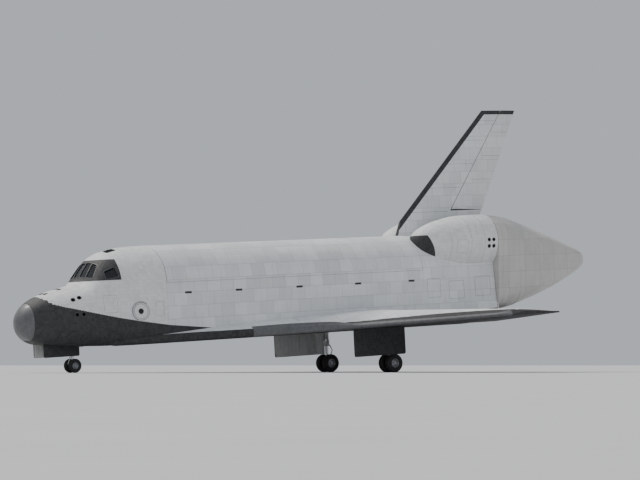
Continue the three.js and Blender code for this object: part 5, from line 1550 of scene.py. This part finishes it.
door_z = wing_base_z(MAIN_WELL["y1"]) - GAP
x0, x1 = MAIN_WELL["x0"] + 1, MAIN_WELL["x1"] - 1
door = [door_panel(x0, x1, 215, door_z, 5, 173.6, 175, BLACK),
        door_panel(x0 + 1, x1 - 1, 216, door_z - 0.5, 5, 173.1, 173.7, WHITE)]
door += [block(px, px + 1.4, 171.6, 173.3, 219, door_z - 3, WHITE) for px in np.linspace(x0 + 5, x1 - 6.4, 7)]
door += [block(x0 + 4, x1 - 4, 171.75, 173.2, z, z + 1.4, WHITE) for z in (219, 247, door_z - 5)]
door += [block(px, px + 4, 171.5, 174, door_z - 8, door_z - 0.1, STEEL, 0.5) for px in (1062, 1112, 1166)]
pair("main_gear_door_{}", door)
for side, sign in (("left", -1), ("right", 1)):
    tyres = [f"main_tyre_{place}_{side}" for place in ("inner", "outer")]
    wheel_set(f"main_wheel_hubs_{side}", MAIN_GEAR_X, sign * MAIN_GEAR_Y, MAIN_TYRE, f"main_wheels_{side}",
              tyres[::sign], 12, 2.4)

# Nose leg and the steered part with its torque link

x = NOSE_GEAR_X
axle_z = wheel_centre_z(x, NOSE_TYRE["radius"])
top_z = NOSE_WELL["z"] - GAP
leg = [
    turned((x, 0, top_z), (x, 0, STEERING_Z),
           [(0, 5), (0.2, 5), (0.22, 4.5), (0.86, 4.5), (0.88, 5.3), (1, 5.3)], WHITE, 48),
    turned((x, 1 - NOSE_WELL["y"], 330), (x, NOSE_WELL["y"] - 1, 330),
           [(0, 2.6), (0.05, 3.2), (0.34, 3.2), (0.4, 5), (0.6, 5), (0.66, 3.2), (0.95, 3.2), (1, 2.6)],
           WHITE, 40),
    *(turned(start, end, [(0, 2.0), (0.05, 2.4), (0.95, 2.4), (1, 2.0)], WHITE, 28)
      for start, end in (((312, 0, top_z - 4), (345, 0, 312)), ((343, 0, 313.5), (x - 2, 0, 276)))),
    bar((344, -3.6, 312.6), (344, 3.6, 312.6), 1.8, STEEL, sides=24),
    bar((312, -8, top_z - 4), (312, 8, top_z - 4), 1.9, STEEL, sides=24),
]
leg += twins([
    bar((x + 4.9, 2, 345), (x + 4.9, 2, 268), 0.4, STEEL, sides=12),
    turned((x, 5.2, 270), (x, 9.5, 270), [(0, 1.6), (0.8, 1.6), (1, 1.2)], STEEL, 24),
    turned((x - 6.5, 3.4, 284), (x - 9.5, 3.4, 283.6), [(0, 1.0), (0.4, 2.3), (1, 2.5)], WHITE, 32),
    turned((x - 9.3, 3.4, 283.6), (x - 9.8, 3.4, 283.5), [(0, 2.3), (1, 2.1)], GLASS, 32),
    bar((x - 7, 3.4, 284), (x - 3, 1.4, 285), 0.7, WHITE, sides=12),
])
piece("nose_gear_leg", leg)
on_axle = [
    turned((x, 0, STEERING_Z - 4), (x, 0, axle_z + 1), [(0, 3.2), (1, 3.2)], STEEL, 40),
    turned((x, -3.3, axle_z), (x, 3.3, axle_z), [(0, 3.6), (0.12, 4), (0.88, 4), (1, 3.6)], WHITE, 40),
    turned((x, 0, axle_z + 7), (x, 0, axle_z), [(0, 3.5), (0.4, 4), (1, 4)], WHITE, 40),
]
steered = [cut(part, [bar((x, -8, axle_z), (x, 8, axle_z), 2.3, sides=48)]) for part in on_axle]
steered += [
    turned((x, 0, STEERING_Z - MOVING_GAP), (x, 0, STEERING_Z - 5),
           [(0, 5), (0.2, 5.3), (0.8, 5.3), (1, 4.8)], WHITE, 48),
    *link_plate(x - 4.4, 0, STEERING_Z - 4, 241, -7, 2.4, 1.2, 1.3),
    *link_plate(x - 3.4, 0, axle_z + 6, 239.4, -8, 2.4, 1.2, 1.3),
]
piece("nose_gear_piston", steered, "nose_steering")
wheel_set("nose_wheel_hubs", x, 0.0, NOSE_TYRE, "nose_wheels", ("nose_tyre_left", "nose_tyre_right"), 10, 1.8)
x0, x1, y = NOSE_WELL["x0"] + 1, NOSE_WELL["x1"] - 6, NOSE_WELL["y"]
door = [door_panel(x0, x1, 258, 300, 4, y + 1.9, y + 3, BLACK),
        door_panel(x0 + 1, x1 - 1, 259, 300, 3.5, y + 1.5, y + 2, WHITE)]
door += [block(px, px + 1.1, y + 0.5, y + 1.6, 261, 300, WHITE) for px in np.linspace(298, 376, 6)]
door += [block(296, 381, y + 0.65, y + 1.55, z, z + 1.1, WHITE) for z in (261.1, 277)]
pair("nose_gear_door_{}", [cut(part, [body_loft(280, 400, -GAP)]) for part in door])

# Cutting tools that are still there

for made in [made for made in bpy.data.objects if made.name.startswith("form")]:
    drop(made)

# Floor, light and camera

f = Finish("floor_matte", 0.95)
f.shader.inputs["Specular IOR Level"].default_value = 0.1
floor_tone = f.mix(f.noise(0.01, detail=5), (0.58, 0.585, 0.59), (0.64, 0.645, 0.65))
f.finish(floor_tone, f.bump(f.noise(0.6), 0.03))
FLOOR_RADIUS = 400
FLOOR_Z = -0.002
FLOOR_SIDES = 96
floor_mesh = bpy.data.meshes.new("studio_floor")
floor_points = [(FLOOR_RADIUS * math.cos(a), FLOOR_RADIUS * math.sin(a), FLOOR_Z)
                for a in np.linspace(0, 2 * math.pi, FLOOR_SIDES, endpoint=False)]
floor_mesh.from_pydata(floor_points, [], [tuple(range(FLOOR_SIDES))])
floor_mesh.materials.append(f.material)
floor = bpy.data.objects.new("studio_floor", floor_mesh)
bpy.context.scene.collection.objects.link(floor)

world = bpy.data.worlds.new("studio_sky")
world.use_nodes = True
world.node_tree.nodes["Background"].inputs["Color"].default_value = (0.78, 0.82, 0.88, 1)
world.node_tree.nodes["Background"].inputs["Strength"].default_value = 0.62
bpy.context.scene.world = world


def soft_light(name, place, spread, power, tone):
    """Wide far light that shines from place towards the middle."""
    data = bpy.data.lights.new(name, "SUN")
    data.angle = math.radians(spread)
    data.energy = power
    data.color = tone
    lamp = bpy.data.objects.new(name, data)
    lamp.location = place
    lamp.rotation_euler = (-Vector(place)).to_track_quat("-Z", "Y").to_euler()
    bpy.context.scene.collection.objects.link(lamp)


soft_light("key_light", (-8, 22, 34), 24, 2.6, (1.0, 0.97, 0.92))
soft_light("fill_light", (-20, -30, 14), 60, 0.35, (0.9, 0.95, 1.0))

CAMERA_AZIMUTH = math.radians(-34)
CAMERA_DISTANCE = 75.0
CAMERA_HEIGHT = 0.25
camera_data = bpy.data.cameras.new("photo_camera")
camera_data.sensor_width = 36.0
camera_data.lens = 136.0
camera_data.clip_end = 1000.0
camera = bpy.data.objects.new("photo_camera", camera_data)
camera.location = (CAMERA_DISTANCE * math.sin(CAMERA_AZIMUTH), -CAMERA_DISTANCE * math.cos(CAMERA_AZIMUTH),
                   CAMERA_HEIGHT)
aim = Vector((0.0, 0.0, 4.1))
camera.rotation_euler = (aim - camera.location).to_track_quat("-Z", "Y").to_euler()
bpy.context.scene.collection.objects.link(camera)
bpy.context.scene.camera = camera
